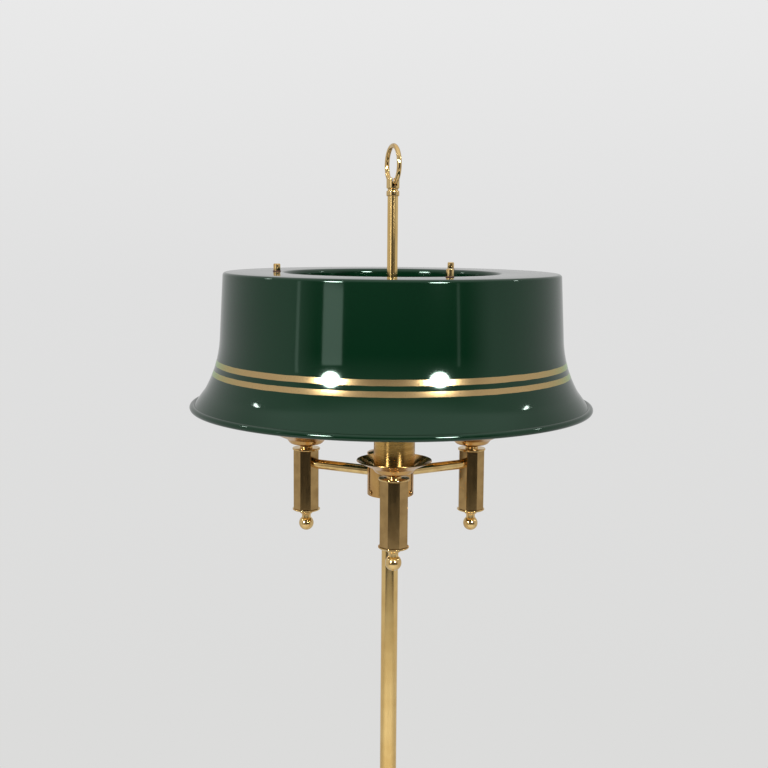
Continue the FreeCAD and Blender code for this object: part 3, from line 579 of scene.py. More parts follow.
def copiesRound(piece, count, radius, azimuth, finish):
    return grow(piece, copiesTree, {
        "Count": count, "Radius": radius / 1000, "First Azimuth": math.radians(azimuth), "Finish": finish})


# Base

baseSizes = {"padRounding": 0.6, "coverWall": 1.2, "coverBore": 5.2, "edgeHeight": 24.0, "edgeRounding": 8.0,
             "seatRadius": 25.0, "seatRounding": 8.0}
glandSizes = {"bore": 3.6, "barrel": 5.0, "barrelLength": 7.0, "flange": 6.5, "holeRadius": 5.1}


def makeBase():
    sizes = baseSizes
    low, high = span("base_pad")
    pad = turnedPiece("basePad", [
        (0, low.z), (high.x, low.z, sizes["padRounding"]), (high.x, high.z, sizes["padRounding"]),
        (0, high.z)], woolFelt, around=160)
    settle(pad, "stand", "felt", "base_pad")

    low, high = span("base_cover")
    edge = high.x
    outer = [
        (edge, low.z), (edge, sizes["edgeHeight"], sizes["edgeRounding"]),
        (sizes["seatRadius"], high.z, sizes["seatRounding"]), (sizes["coverBore"], high.z)]
    inner = insideLine(outer, sizes["coverWall"])
    inner[0] = inner[0][:2]
    cover = turnedPiece("baseCover", outer + inner[::-1], spunBrass, around=192)
    sizes = glandSizes
    place = aimed(180, middle("cord_gland").z, edge)
    hole = turnedBody([(0, -12), (sizes["holeRadius"], -12), (sizes["holeRadius"], 12), (0, 12)], 48)
    bmesh.ops.transform(hole, matrix=place, verts=hole.verts)
    cutAway(cover, finishPiece("glandHole", hole, spunBrass))
    settle(cover, "stand", "polished_brass", "base_cover")

    face = span("cord_gland")[1].y - edge
    back = -sizes["barrelLength"]
    bush = turnedBody([
        (sizes["bore"], back), (sizes["barrel"], back, 0.4), (sizes["barrel"], 0), (sizes["flange"], 0, 0.3),
        (sizes["flange"], face, 1.0), (sizes["bore"], face, 0.8)], 64)
    bmesh.ops.transform(bush, matrix=place, verts=bush.verts)
    settle(finishPiece("cordGland", bush, blackPhenolic), "stand", "black_plastic", "cord_gland")


makeBase()
print("base made")


# Stem

stemSizes = {"wall": 1.2, "endChamfer": 0.25, "footFlange": 4.0, "footNeck": 13.3,
             "pipeBore": 5.1, "tubeSocket": 8.6, "socketFloor": 6.0}


def tube(name, radius, wall, low, high, finish, chamfer, around=96):
    return turnedPiece(name, [
        (radius - wall, low), (radius, low, chamfer), (radius, high, chamfer), (radius - wall, high)],
        finish, around=around)


def makeStem():
    sizes = stemSizes
    for name, node in (("stemLower", "stem_lower_tube"), ("stemUpper", "stem_upper_tube")):
        low, high = span(node)
        piece = tube(name, high.x, sizes["wall"], low.z, high.z, drawnBrass, sizes["endChamfer"])
        settle(piece, "stand", "polished_brass", node)

    low, high = span("foot_collar")
    seat = span("base_cover")[1].z
    neck = sizes["footNeck"]
    socket = sizes["tubeSocket"]
    flangeTop = seat + sizes["footFlange"]
    floor = seat + sizes["socketFloor"]
    collar = turnedPiece("footCollar", [
        (sizes["pipeBore"], seat), (high.x, seat, 0.6), (high.x, flangeTop, 1.5), (neck + 1.2, flangeTop, 1.2),
        (neck, flangeTop + 3.0, 2.0), (neck, high.z, 2.5), (socket, high.z, 0.2), (socket, floor),
        (sizes["pipeBore"], floor)], turnedBrass)
    settle(collar, "stand", "polished_brass", "foot_collar")


makeStem()
print("stem made")


# Hub

hubSizes = {"wall": 2.5, "edge": 0.8, "screwHeight": 3.9, "screwHead": 2.4, "screwRise": 1.3,
            "slotWidth": 0.8, "slotDepth": 0.6, "slotTurn": 0.6, "screwLength": 8.0, "screwShank": 1.5,
            "pipeBore": 5.1, "tubeSocket": 8.6, "socketDepth": 4.0}
lidSizes = {"bore": 5.35, "spigot": 20.95, "edgeHeight": 1.8, "flatRadius": 13.0, "domeRounding": 8.0,
            "nutBore": 5.3}


def makeHub():
    sizes = hubSizes
    low, high = span("hub_sleeve")
    radius = high.x
    sleeve = turnedPiece("hubSleeve", [
        (radius - sizes["wall"], low.z, 0.3), (radius, low.z, sizes["edge"]), (radius, high.z, 0.3),
        (radius - sizes["wall"], high.z)], tonedBrassSpun)
    settle(sleeve, "stand", "satin_brass", "hub_sleeve")

    plateLow, plateHigh = span("hub_plate")
    socket = sizes["tubeSocket"]
    floor = plateLow.z + sizes["socketDepth"]
    plate = turnedPiece("hubPlate", [
        (socket, plateLow.z, 0.3), (plateHigh.x, plateLow.z, 0.4), (plateHigh.x, plateHigh.z, 0.3),
        (sizes["pipeBore"], plateHigh.z), (sizes["pipeBore"], floor), (socket, floor)], tonedBrassSpun)
    settle(plate, "stand", "satin_brass", "hub_plate")

    head = sizes["screwHead"]
    shank = sizes["screwShank"]
    face = radius + sizes["screwRise"]
    tip = radius - sizes["screwLength"]
    body = turnedBody([
        (0, tip), (shank, tip, 0.3), (shank, radius), (head, radius), (head, face, 0.5), (0, face)], 48)
    # The screws are polished brass. The darker toned brass they are given here is painted shade.
    screw = finishPiece("hubScrews", body, tonedBrass)
    slot = bmesh.new()
    bmesh.ops.create_cube(slot, size=1.0, matrix=Matrix.Translation((0, 0, face)) @ Matrix.Diagonal(
        (3 * head, sizes["slotWidth"], 2 * sizes["slotDepth"], 1.0)))
    cutAway(screw, finishPiece("screwSlot", slot, tonedBrass))
    screw.data.transform(aimed(0, 0) @ Matrix.Rotation(sizes["slotTurn"], 4, "Z"))
    screw.data.transform(Matrix.Translation((0, 0, (low.z + sizes["screwHeight"]) / 1000)))
    copiesRound(screw, 3, 0.0, azimuthOf(middle("candle_body_front")) + 60, tonedBrass)
    settle(screw, "stand", "polished_brass", "hub_screws")


def makeLid():
    sizes = lidSizes
    low, high = span("hub_lid")
    seat = span("hub_sleeve")[1].z
    lid = turnedPiece("hubLid", [
        (sizes["bore"], low.z), (sizes["spigot"], low.z, 0.4), (sizes["spigot"], seat), (high.x, seat, 0.5),
        (high.x, seat + sizes["edgeHeight"], 0.8), (sizes["flatRadius"], high.z, sizes["domeRounding"]),
        (sizes["bore"], high.z)], tonedBrassSpun, around=128)
    settle(lid, "stand", "satin_brass", "hub_lid")

    low, high = span("mast_nut")
    nut = turnedPiece("mastNut", [
        (sizes["nutBore"], low.z), (high.x, low.z, 0.6), (high.x, high.z, 1.0),
        (sizes["nutBore"], high.z, 0.2)], turnedBrass)
    settle(nut, "stand", "polished_brass", "mast_nut")


makeHub()
makeLid()
print("hub made")


# Arms and candles

armSizes = {"bore": 7.0, "hubRadius": 23.5, "intoBody": 6.0, "seatGap": 0.35, "plugBore": 2.5, "plugStart": 8.5,
            "plugEnd": 4.0}
bodySizes = {"width": 26.0, "wall": 2.0, "edge": 0.35}
candleSizes = {"pipeBore": 4.1, "flange": 14.5, "neck": 5.5, "bead": 6.8, "tightBore": 4.05, "ballRadius": 7.75,
               "collarRadius": 6.5, "collarHeight": 3.2, "ballNeck": 4.7, "ballSteps": 22}
panSizes = {"bore": 4.1, "wall": 0.8, "floor": 16.5, "rounding": 5.0, "step": 20.5, "stepHeight": 5.2,
            "stepRounding": 3.0, "depth": 11.9}
holderSizes = {"bore": 4.05, "entry": 6.5, "entryHeight": 10.0, "bodyStart": 14.0, "socket": 7.0,
               "socketDepth": 22.5, "ringTop": 6.8, "ringHeight": 2.2, "ringDepth": 0.7, "sleeveWall": 1.0}
bulbSizes = {"neck": 6.5, "widen": 18.0, "shoulder": 13.5, "cap": 6.9, "capGroove": 0.6, "threadTurns": 5.0,
             "threadPitch": 2.8, "threadCrest": 0.7, "threadStart": 4.8}


def makeArms():
    sizes = armSizes
    for side in candleSides:
        low, high = span("arm_" + side)
        candle = middle("candle_body_" + side)
        azimuth = azimuthOf(candle)
        reach = math.hypot(candle.x, candle.y)
        radius = (high.z - low.z) / 2
        inner = sizes["bore"] / 2
        wire = sizes["plugBore"]
        plug = sizes["hubRadius"] - sizes["plugStart"]
        step = sizes["hubRadius"] + sizes["plugEnd"]
        start = sizes["hubRadius"] - sizes["seatGap"]
        end = reach - sizes["intoBody"]
        body = turnedBody([
            (wire, plug), (inner, plug, 0.3), (inner, start), (radius, start, 0.2), (radius, end), (inner, end),
            (inner, step), (wire, step)], 64)
        bmesh.ops.transform(body, matrix=aimed(azimuth, (low.z + high.z) / 2), verts=body.verts)
        arm = finishPiece("arm" + side.capitalize(), body, turnedBrass)
        settle(arm, "stand", "polished_brass", "arm_" + side)


def octagonRing(body, half, height, centre):
    corner = half / math.cos(math.pi / 8)
    return [body.verts.new((
        centre.x + corner * math.cos((index + 0.5) * math.pi / 4),
        centre.y + corner * math.sin((index + 0.5) * math.pi / 4), height)) for index in range(8)]


def makeBodies():
    sizes = bodySizes
    outerHalf = sizes["width"] / 2
    innerHalf = outerHalf - sizes["wall"]
    for side in candleSides:
        node = "candle_body_" + side
        low, high = span(node)
        centre = middle(node)
        body = bmesh.new()
        rings = [octagonRing(body, half, height, centre) for half, height in (
            (outerHalf, low.z), (outerHalf, high.z), (innerHalf, high.z), (innerHalf, low.z))]
        for index, ring in enumerate(rings):
            other = rings[(index + 1) % 4]
            for turn in range(8):
                after = (turn + 1) % 8
                body.faces.new((ring[turn], ring[after], other[after], other[turn]))
        bmesh.ops.recalc_face_normals(body, faces=body.faces)
        outside = [edge for edge in body.edges if all(
            (vert.co - centre).to_2d().length > outerHalf for vert in edge.verts)]
        bmesh.ops.bevel(body, geom=outside, offset=sizes["edge"], segments=2, profile=0.5, affect="EDGES")
        piece = finishPiece("candleBody" + side.capitalize(), body, tonedBrass, crease=8.0)
        settle(piece, "stand", "satin_brass", node)


def makeCandles():
    sizes = candleSizes
    front = middle("candle_body_front")
    reach = math.hypot(front.x, front.y)
    azimuth = azimuthOf(front)
    bodyTop = span("candle_body_front")[1].z
    bore = sizes["pipeBore"]
    edge = sizes["flange"]

    low, high = span("top_flanges")
    disc = bodyTop + 2.0
    bead = sizes["bead"]
    neck = sizes["neck"]
    flanges = turnedPiece("topFlanges", [
        (bore, bodyTop), (edge, bodyTop, 0.6), (edge, disc, 0.6), (bead, disc, 0.3), (bead, disc + 2.0, 0.7),
        (neck, disc + 2.6, 0.3), (neck, high.z), (bore, high.z)], turnedBrass, around=80)
    settle(copiesRound(flanges, 3, reach, azimuth, turnedBrass), "stand", "polished_brass", "top_flanges")

    low, high = span("bottom_flanges")
    flanges = turnedPiece("bottomFlanges", [
        (bore, low.z), (edge - 1.2, low.z, 0.5), (edge, low.z + 0.8, 0.6), (edge, high.z, 0.4),
        (bore, high.z)], turnedBrass, around=80)
    settle(copiesRound(flanges, 3, reach, azimuth, turnedBrass), "stand", "polished_brass", "bottom_flanges")

    low, high = span("ball_finials")
    collar = sizes["collarRadius"]
    base = high.z - sizes["collarHeight"]
    ball = sizes["ballRadius"]
    centre = low.z + ball
    stem = sizes["ballNeck"]
    bore = sizes["tightBore"]
    start = math.acos(stem / ball)
    steps = sizes["ballSteps"]
    angles = [start - (start + math.pi / 2) * part / steps for part in range(steps)]
    sphere = [(ball * math.cos(angle), centre + ball * math.sin(angle)) for angle in angles]
    finials = turnedPiece("ballFinials", [
        (bore, high.z), (collar, high.z, 0.5), (collar, base, 1.0), (stem, base - 1.0, 0.6)] + sphere + [
        (0, low.z), (0, base), (bore, base)], turnedBrass, around=64)
    settle(copiesRound(finials, 3, reach, azimuth, turnedBrass), "stand", "polished_brass", "ball_finials")


def makeCaps():
    sizes = bulbSizes
    front = middle("candle_body_front")
    low, high = span("bulb_caps")
    wide = sizes["cap"]
    thin = wide - sizes["capGroove"]
    caps = turnedPiece("bulbCaps", [
        (0, low.z), (wide * 0.35, low.z, 0.5), (wide * 0.55, low.z + 1.6, 0.6), (thin, low.z + 4.4, 0.8),
        (thin, low.z + 19.0, 0.4), (wide, low.z + 20.0, 0.3), (wide, high.z, 0.3), (0, high.z)],
        nickelPlate, around=48)
    grow(caps, capThreadTree, {
        "Turns": sizes["threadTurns"], "Pitch": sizes["threadPitch"] / 1000, "Radius": (wide - 0.75) / 1000,
        "Crest": sizes["threadCrest"] / 1000, "Start": (low.z + sizes["threadStart"]) / 1000,
        "Finish": nickelPlate})
    copiesRound(caps, 3, math.hypot(front.x, front.y), azimuthOf(front), nickelPlate)
    settle(caps, "stand", "nickel", "bulb_caps")


def makeCandleTops():
    for side in candleSides:
        at = middle("candle_sleeve_" + side)
        at.z = 0
        end = side.capitalize()
        sizes = panSizes
        low, high = span("drip_pan_" + side)
        edge = radiusOf("drip_pan_" + side)
        outer = [
            (sizes["bore"], low.z), (sizes["floor"], low.z, sizes["rounding"]),
            (sizes["step"], low.z + sizes["stepHeight"], sizes["stepRounding"]),
            (edge - 0.06, low.z + sizes["depth"])]
        inner = insideLine(outer, sizes["wall"])
        inner[0] = inner[0][:2]
        pan = turnedPiece("dripPan" + end, outer + inner[::-1], tonedBrassSpun, at, 128)
        settle(pan, "stand", "satin_brass", "drip_pan_" + side)

        sizes = holderSizes
        low, high = span("lampholder_" + side)
        edge = radiusOf("lampholder_" + side)
        entry = sizes["entry"]
        socket = sizes["socket"]
        floor = high.z - sizes["socketDepth"]
        groove = edge - sizes["ringDepth"]
        ringTop = high.z - sizes["ringTop"]
        ringFoot = ringTop - sizes["ringHeight"]
        holder = turnedPiece("lampholder" + end, [
            (sizes["bore"], low.z), (entry, low.z, 0.4), (entry, low.z + sizes["entryHeight"], 1.0),
            (edge, low.z + sizes["bodyStart"], 1.5), (edge, ringFoot, 0.3), (groove, ringFoot + 0.6, 0.2),
            (groove, ringTop - 0.6, 0.2), (edge, ringTop, 0.3), (edge, high.z, 0.6), (socket, high.z, 0.5),
            (socket, floor), (sizes["bore"], floor)], blackPhenolic, at, 64)
        settle(holder, "stand", "black_plastic", "lampholder_" + side)

        low, high = span("candle_sleeve_" + side)
        edge = radiusOf("candle_sleeve_" + side)
        wall = sizes["sleeveWall"]
        sleeve = turnedPiece("candleSleeve" + end, [
            (edge - wall, low.z), (edge, low.z, 0.2), (edge, high.z, 0.3), (edge - wall, high.z, 0.3)],
            tonedBrassTube, at, 96)
        settle(sleeve, "stand", "satin_brass", "candle_sleeve_" + side)

        sizes = bulbSizes
        low, high = span("bulb_glass_" + side)
        wide = radiusOf("bulb_glass_" + side) - 0.02
        neck = sizes["neck"]
        bulb = turnedPiece("bulb" + end, [
            (0, low.z), (neck, low.z), (neck, low.z + 3.0, 2.0),
            (wide, low.z + sizes["widen"], sizes["shoulder"]), (wide, high.z, wide - 0.1), (0, high.z)],
            opalGlass, at, 80)
        settle(bulb, "stand", "opal_glass", "bulb_glass_" + side)


makeArms()
makeBodies()
makeCandles()
makeCaps()
makeCandleTops()
print("arms and candles made")


# Mast, finial and ring

mastSizes = {"wall": 1.2, "threadStep": 0.25, "threadLength": 4.0}
finialSizes = {"spigot": 4.0, "head": 6.4, "collarHeight": 5.4, "groove": 5.2, "grooveHeight": 1.9,
               "ringWire": 4.7, "ringFacets": 128, "wireFacets": 28}


def makeMast():
    sizes = mastSizes
    low, high = span("mast_rod")
    inner = high.x - sizes["wall"]
    thread = high.x - sizes["threadStep"]
    threadTop = low.z + sizes["threadLength"]
    mast = turnedPiece("mast", [
        (inner, low.z), (thread, low.z), (thread, threadTop), (high.x, threadTop), (high.x, high.z, 0.15),
        (inner, high.z)], drawnBrass, around=80)
    settle(mast, "stand", "polished_brass", "mast_rod")


def makeFinial():
    sizes = finialSizes
    top = span("mast_rod")[1].z
    low, high = span("finial_head")
    spigot = sizes["spigot"]
    edge = sizes["head"]
    groove = sizes["groove"]
    collar = top + sizes["collarHeight"]
    base = collar + sizes["grooveHeight"]
    head = turnedPiece("finialHead", [
        (0, low.z), (spigot, low.z), (spigot, top), (edge, top, 0.8), (edge, collar, 1.0),
        (groove, collar, 0.3), (groove, base, 0.3), (edge, base, 1.0), (edge, high.z, 1.4), (0, high.z)],
        turnedBrass)
    ringLow, ringHigh = span("finial_ring")
    wire = sizes["ringWire"] / 2
    reach = (ringHigh.z - ringLow.z) / 2 - wire
    azimuth = math.degrees(math.asin(max(0.0, (ringHigh.x - wire) / reach)))
    slot = bmesh.new()
    across = Matrix.Rotation(math.radians(azimuth), 4, "Z")
    bmesh.ops.create_cube(slot, size=1.0, matrix=Matrix.Translation(
        (0, 0, ringLow.z + 10.0)) @ across @ Matrix.Diagonal((2 * wire + 0.1, 60.0, 20.0, 1.0)))
    cutAway(head, finishPiece("ringSlot", slot, turnedBrass))
    settle(head, "stand", "polished_brass", "finial_head")

    centre = (ringLow.z + ringHigh.z) / 2
    body = bmesh.new()
    rows = []
    turns = sizes["ringFacets"]
    parts = sizes["wireFacets"]
    for turn in range(turns):
        angle = 2 * math.pi * turn / turns
        row = []
        for part in range(parts):
            around = 2 * math.pi * part / parts
            out = reach + wire * math.cos(around)
            row.append(body.verts.new((
                wire * math.sin(around), out * math.cos(angle), centre + out * math.sin(angle))))
        rows.append(row)
    for turn, row in enumerate(rows):
        other = rows[(turn + 1) % turns]
        for part in range(parts):
            after = (part + 1) % parts
            body.faces.new((row[part], row[after], other[after], other[part]))
    bmesh.ops.transform(body, matrix=across, verts=body.verts)
    settle(finishPiece("finialRing", body, turnedBrass), "stand", "polished_brass", "finial_ring")


makeMast()
makeFinial()
print("mast and finial made")


# Shade

shadeSizes = {"wall": 0.8, "bead": 3.1, "lipReach": 11.6, "lipHeight": 15.6, "lipRounding": 24.0,
              "flareReach": 25.8, "flareHeight": 43.0, "flareRounding": 114.0, "taper": 4.7,
              "topRounding": 3.0, "holeRadius": 106.0, "holeLip": 14.0, "holeRounding": 4.0,
              "facets": 256, "lowerBand": (31.9, 36.7), "upperBand": (41.4, 46.6)}
shadeLook = {"green": "#021C0C", "deepGreen": "#01180A", "gilt": "#C9AA78", "roughness": 0.07,
             "giltRoughness": 0.17, "shine": "#DCFFEC", "waver": 0.35, "peel": 0.2}


def makeShade():
    sizes = shadeSizes
    low, high = span("shade_shell")
    bead = sizes["bead"]
    rim = low.z + bead
    reach = high.x - bead
    foot = reach - sizes["flareReach"]
    outer = [
        (reach + 0.2, rim + bead * 0.8),
        (reach - sizes["lipReach"], rim + sizes["lipHeight"], sizes["lipRounding"]),
        (foot, rim + sizes["flareHeight"], sizes["flareRounding"]),
        (foot - sizes["taper"], high.z, sizes["topRounding"]),
        (sizes["holeRadius"], high.z, sizes["holeRounding"]),
        (sizes["holeRadius"], high.z - sizes["holeLip"])]
    inner = insideLine(outer, sizes["wall"])
    centre = Vector((reach, rim))
    outside = [point for point in roundedLine(outer, False) if (point - centre).length > bead]
    inside = [point for point in roundedLine(inner, False) if (point - centre).length > bead]
    start = math.atan2(inside[0].y - rim, inside[0].x - reach)
    end = math.atan2(outside[0].y - rim, outside[0].x - reach) + 2 * math.pi
    roll = [centre + Vector((math.cos(angle), math.sin(angle))) * bead for angle in (
        start + (end - start) * part / 32 for part in range(33))]
    outline = roll + outside + inside[::-1]
    marks = [0.0] * (len(roll) + len(outside)) + [1.0] * len(inside)
    mesh = bpy.data.meshes.new("shade")
    mesh.from_pydata([(point.x / 1000, 0, point.y / 1000) for point in outline], [], [])
    mesh.attributes.new("inner", "FLOAT", "POINT").data.foreach_set("value", marks)
    shade = bpy.data.objects.new("shade", mesh)
    scene.collection.objects.link(shade)
    look = dict(shadeLook)
    look["bands"] = [(rim + a, rim + b) for a, b in (sizes["lowerBand"], sizes["upperBand"])]
    grow(shade, sheetTree, {
        "Facets": sizes["facets"], "Outer Finish": enamelFinish(look), "Inner Finish": greenInside})
    settle(shade, "shade", "green_enamel", "shade_shell")


carrierSizes = {"rodRadius": 2.5, "bend": 7.0, "bushWall": 4.75, "bushHeight": 18.0, "mastGap": 0.05,
                "rodHeight": 11.4, "rodStart": 2.0, "reach": 115.0, "azimuth": 27.0, "thread": 2.0,
                "nutBore": 2.05, "shoulder": 4.5, "seal": 4.0, "cap": 3.5, "capBore": 5.7}


def makeCarrier():
    sizes = carrierSizes
    low, high = span("shade_carrier")
    nut = span("shoulder_nuts")[0]
    mast = radiusOf("mast_rod")
    reach = sizes["reach"]
    azimuth = sizes["azimuth"]
    bore = mast + sizes["mastGap"]
    edge = mast + sizes["bushWall"]
    bushTop = low.z + sizes["bushHeight"]
    bush = turnedPiece("shadeCarrier", [
        (bore, low.z, 0.3), (edge, low.z, 0.8), (edge, bushTop, 0.8), (bore, bushTop, 0.3)], drawnBrass)
    level = low.z + sizes["rodHeight"]
    corners = [(-mast - sizes["rodStart"], level), (-reach, level), (-reach, nut.z)]
    path = bpy.data.meshes.new("rodPath")
    path.from_pydata([(0, out / 1000, height / 1000) for out, height in corners], [(0, 1), (1, 2)], [])
    rod = bpy.data.objects.new("carrierRod", path)
    scene.collection.objects.link(rod)
    grow(rod, rodTree, {
        "Rod Radius": sizes["rodRadius"] / 1000, "Bend Radius": sizes["bend"] / 1000, "Finish": drawnBrass})
    stud = sizes["thread"]
    thread = turnedBody([(0, nut.z), (stud, nut.z), (stud, high.z, 0.4), (0, high.z)], 32)
    bmesh.ops.translate(thread, vec=(0, -reach, 0), verts=thread.verts)
    bmesh.ops.scale(thread, vec=(0.001,) * 3, verts=thread.verts)
    thread.from_mesh(rod.data)
    thread.to_mesh(rod.data)
    thread.free()
    copiesRound(rod, 3, 0.0, azimuth, drawnBrass)
    whole = bmesh.new()
    whole.from_mesh(rod.data)
    whole.from_mesh(bush.data)
    whole.to_mesh(bush.data)
    whole.free()
    bpy.data.objects.remove(rod)
    bush.data.shade_smooth()
    bush.data.set_sharp_from_angle(angle=math.radians(28))
    settle(bush, "shade", "polished_brass", "shade_carrier")

    bore = sizes["nutBore"]
    low, high = span("shoulder_nuts")
    nuts = turnedPiece("shoulderNuts", [
        (bore, low.z), (sizes["shoulder"], low.z, 0.4), (sizes["shoulder"], high.z, 0.3), (bore, high.z)],
        turnedBrass, around=48)
    settle(copiesRound(nuts, 3, reach, azimuth, turnedBrass), "shade", "polished_brass", "shoulder_nuts")
    low, high = span("shade_seals")
    seals = turnedPiece("shadeSeals", [
        (bore, low.z), (sizes["seal"], low.z, 0.2), (sizes["seal"], high.z, 0.2), (bore, high.z)],
        vulcanFibre, around=40)
    settle(copiesRound(seals, 3, reach, azimuth, vulcanFibre), "shade", "fibre", "shade_seals")
    low, high = span("cap_nuts")
    cap = sizes["cap"]
    floor = low.z + sizes["capBore"]
    nuts = turnedPiece("capNuts", [
        (bore, low.z), (cap, low.z, 0.2), (cap, high.z - 0.9, 0.2), (cap - 0.3, high.z - 0.3, 0.5),
        (cap - 0.9, high.z, 0.3), (0, high.z), (0, floor), (bore, floor)], turnedBrass, around=56)
    settle(copiesRound(nuts, 3, reach, azimuth, turnedBrass), "shade", "polished_brass", "cap_nuts")


clampSizes = {"mastGap": 0.05, "tipGap": 0.35, "shank": 2.0, "headStart": 8.75, "head": 6.5, "headLength": 6.0,
              "dish": 4.6, "dishDepth": 0.6, "ribs": 36, "ribDepth": 0.45, "core": 6.1}


def makeClamp():
    sizes = clampSizes
    low, high = span("lock_collar")
    mast = radiusOf("mast_rod")
    bore = mast + sizes["mastGap"]
    collar = turnedPiece("lockCollar", [
        (bore, low.z, 0.2), (high.x, low.z, 0.8), (high.x, high.z, 0.8), (bore, high.z, 0.2)], turnedBrass)
    settle(collar, "height_collar", "polished_brass", "lock_collar")

    level = (low.z + high.z) / 2
    azimuth = azimuthOf(middle("clamp_screw"))
    shank = sizes["shank"]
    edge = sizes["head"]
    dish = sizes["dish"]
    tip = mast + sizes["tipGap"]
    head = mast + sizes["headStart"]
    face = head + sizes["headLength"]
    hollow = face - sizes["dishDepth"]
    screw = turnedPiece("clampScrew", [
        (0, tip), (shank, tip, 0.4), (shank, head), (edge, head, 0.6), (edge, face, 0.6), (dish, face, 0.3),
        (dish - 0.4, hollow, 0.3), (0, hollow)], turnedBrass, around=216)
    grow(screw, grooveTree, {
        "Ribs": sizes["ribs"], "Depth": sizes["ribDepth"] / 1000, "Core Radius": sizes["core"] / 1000,
        "Finish": turnedBrass})
    screw.data.transform(Matrix.Scale(0.001, 4) @ aimed(azimuth, level) @ Matrix.Scale(1000, 4))
    settle(screw, "clamp", "polished_brass", "clamp_screw")


makeShade()
makeCarrier()
makeClamp()
print("shade made")


# Inner pieces that keep their CAD shape

keptNodes = {
    "base_weight": castIron, "base_washer": zincSteel, "pipe_nuts": zincSteel, "base_pipe": zincSteel,
    "stem_plugs": zincSteel, "stem_joint": zincSteel, "hub_pipe": zincSteel, "arm_nuts": zincSteel,
    "hickey": zincSteel, "candle_blocks": tonedBrassSpun, "candle_pipes": zincSteel}
for name, finish in keptNodes.items():
    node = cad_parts[name]
    for slot in node.material_slots:
        slot.material = finish
print("kept nodes painted:", len(keptNodes))


# Studio

# glow of the room round the lamp, with the angles in degrees between which one part fades into the next
roomLook = {
    "backdrop": "#E0E0E0", "backdropLow": "#DCDCDB", "backdropHigh": "#E9E9E9", "backdropRise": (-22, 10),
    "front": 0.06, "frontHigh": 0.4, "frontRise": (0, 30), "side": 0.6, "sideTurn": (46, 70),
    "ceiling": 0.95, "ceilingRise": (33, 50)}


def makeRoom():
    look = roomLook
    backdropRise, frontRise, sideTurn, ceilingRise = [
        [math.radians(angle) for angle in look[name]]
        for name in ("backdropRise", "frontRise", "sideTurn", "ceilingRise")]
    world = bpy.data.worlds.new("paleStudio")
    scene.world = world
    world.use_nodes = True
    tree = world.node_tree
    tree.nodes.clear()
    ray = addNode(tree, "ShaderNodeTexCoord").outputs["Generated"]
    axes = addNode(tree, "ShaderNodeSeparateXYZ", {0: ray})
    back = addNode(tree, "ShaderNodeMath", {0: axes.outputs[1], 1: -1.0}, operation="MULTIPLY")
    angle = addNode(tree, "ShaderNodeMath", {0: axes.outputs[0], 1: back.outputs[0]}, operation="ARCTAN2")
    turn = addNode(tree, "ShaderNodeMath", {0: angle.outputs[0]}, operation="ABSOLUTE")
    rise = addNode(tree, "ShaderNodeMath", {0: axes.outputs[2]}, operation="ARCSINE").outputs[0]
    front = addNode(tree, "ShaderNodeMapRange", {
        "Value": rise, "From Min": frontRise[0], "From Max": frontRise[1],
        "To Min": look["front"], "To Max": look["frontHigh"]})
    wall = addNode(tree, "ShaderNodeMapRange", {
        "Value": turn.outputs[0], "From Min": sideTurn[0], "From Max": sideTurn[1]},
        interpolation_type="SMOOTHSTEP")
    walls = addNode(tree, "ShaderNodeMix", {
        "Factor": wall.outputs[0], "A": front.outputs[0], "B": look["side"]}, data_type="FLOAT")
    overhead = addNode(tree, "ShaderNodeMapRange", {
        "Value": rise, "From Min": ceilingRise[0], "From Max": ceilingRise[1]},
        interpolation_type="SMOOTHSTEP")
    glow = addNode(tree, "ShaderNodeMix", {
        "Factor": overhead.outputs[0], "A": walls.outputs["Result"], "B": look["ceiling"]}, data_type="FLOAT")
    room = addNode(tree, "ShaderNodeBackground", {"Color": (1, 1, 1, 1), "Strength": glow.outputs["Result"]})
    shading = addNode(tree, "ShaderNodeMapRange", {
        "Value": rise, "From Min": backdropRise[0], "From Max": backdropRise[1]})
    sweep = addNode(tree, "ShaderNodeValToRGB", {"Fac": shading.outputs[0]})
    sweep.color_ramp.elements[0].color = linear(look["backdropLow"])
    sweep.color_ramp.elements[1].color = linear(look["backdropHigh"])
    sweep.color_ramp.elements.new(0.6).color = linear(look["backdrop"])
    plain = addNode(tree, "ShaderNodeBackground", {"Color": sweep.outputs["Color"], "Strength": 1.0})
    seen = addNode(tree, "ShaderNodeLightPath").outputs["Is Camera Ray"]
    mixed = addNode(tree, "ShaderNodeMixShader", {0: seen, 1: room.outputs[0], 2: plain.outputs[0]})
    addNode(tree, "ShaderNodeOutputWorld", {"Surface": mixed.outputs[0]})


# metres, except the speck
floorLook = {"centre": 1.6, "radius": 3.2, "fadeStart": 2.85, "fadeEnd": 3.1, "colour": "#ADADAB",
             "second": "#BABAB9", "speck": 3.0, "roughness": 0.75}


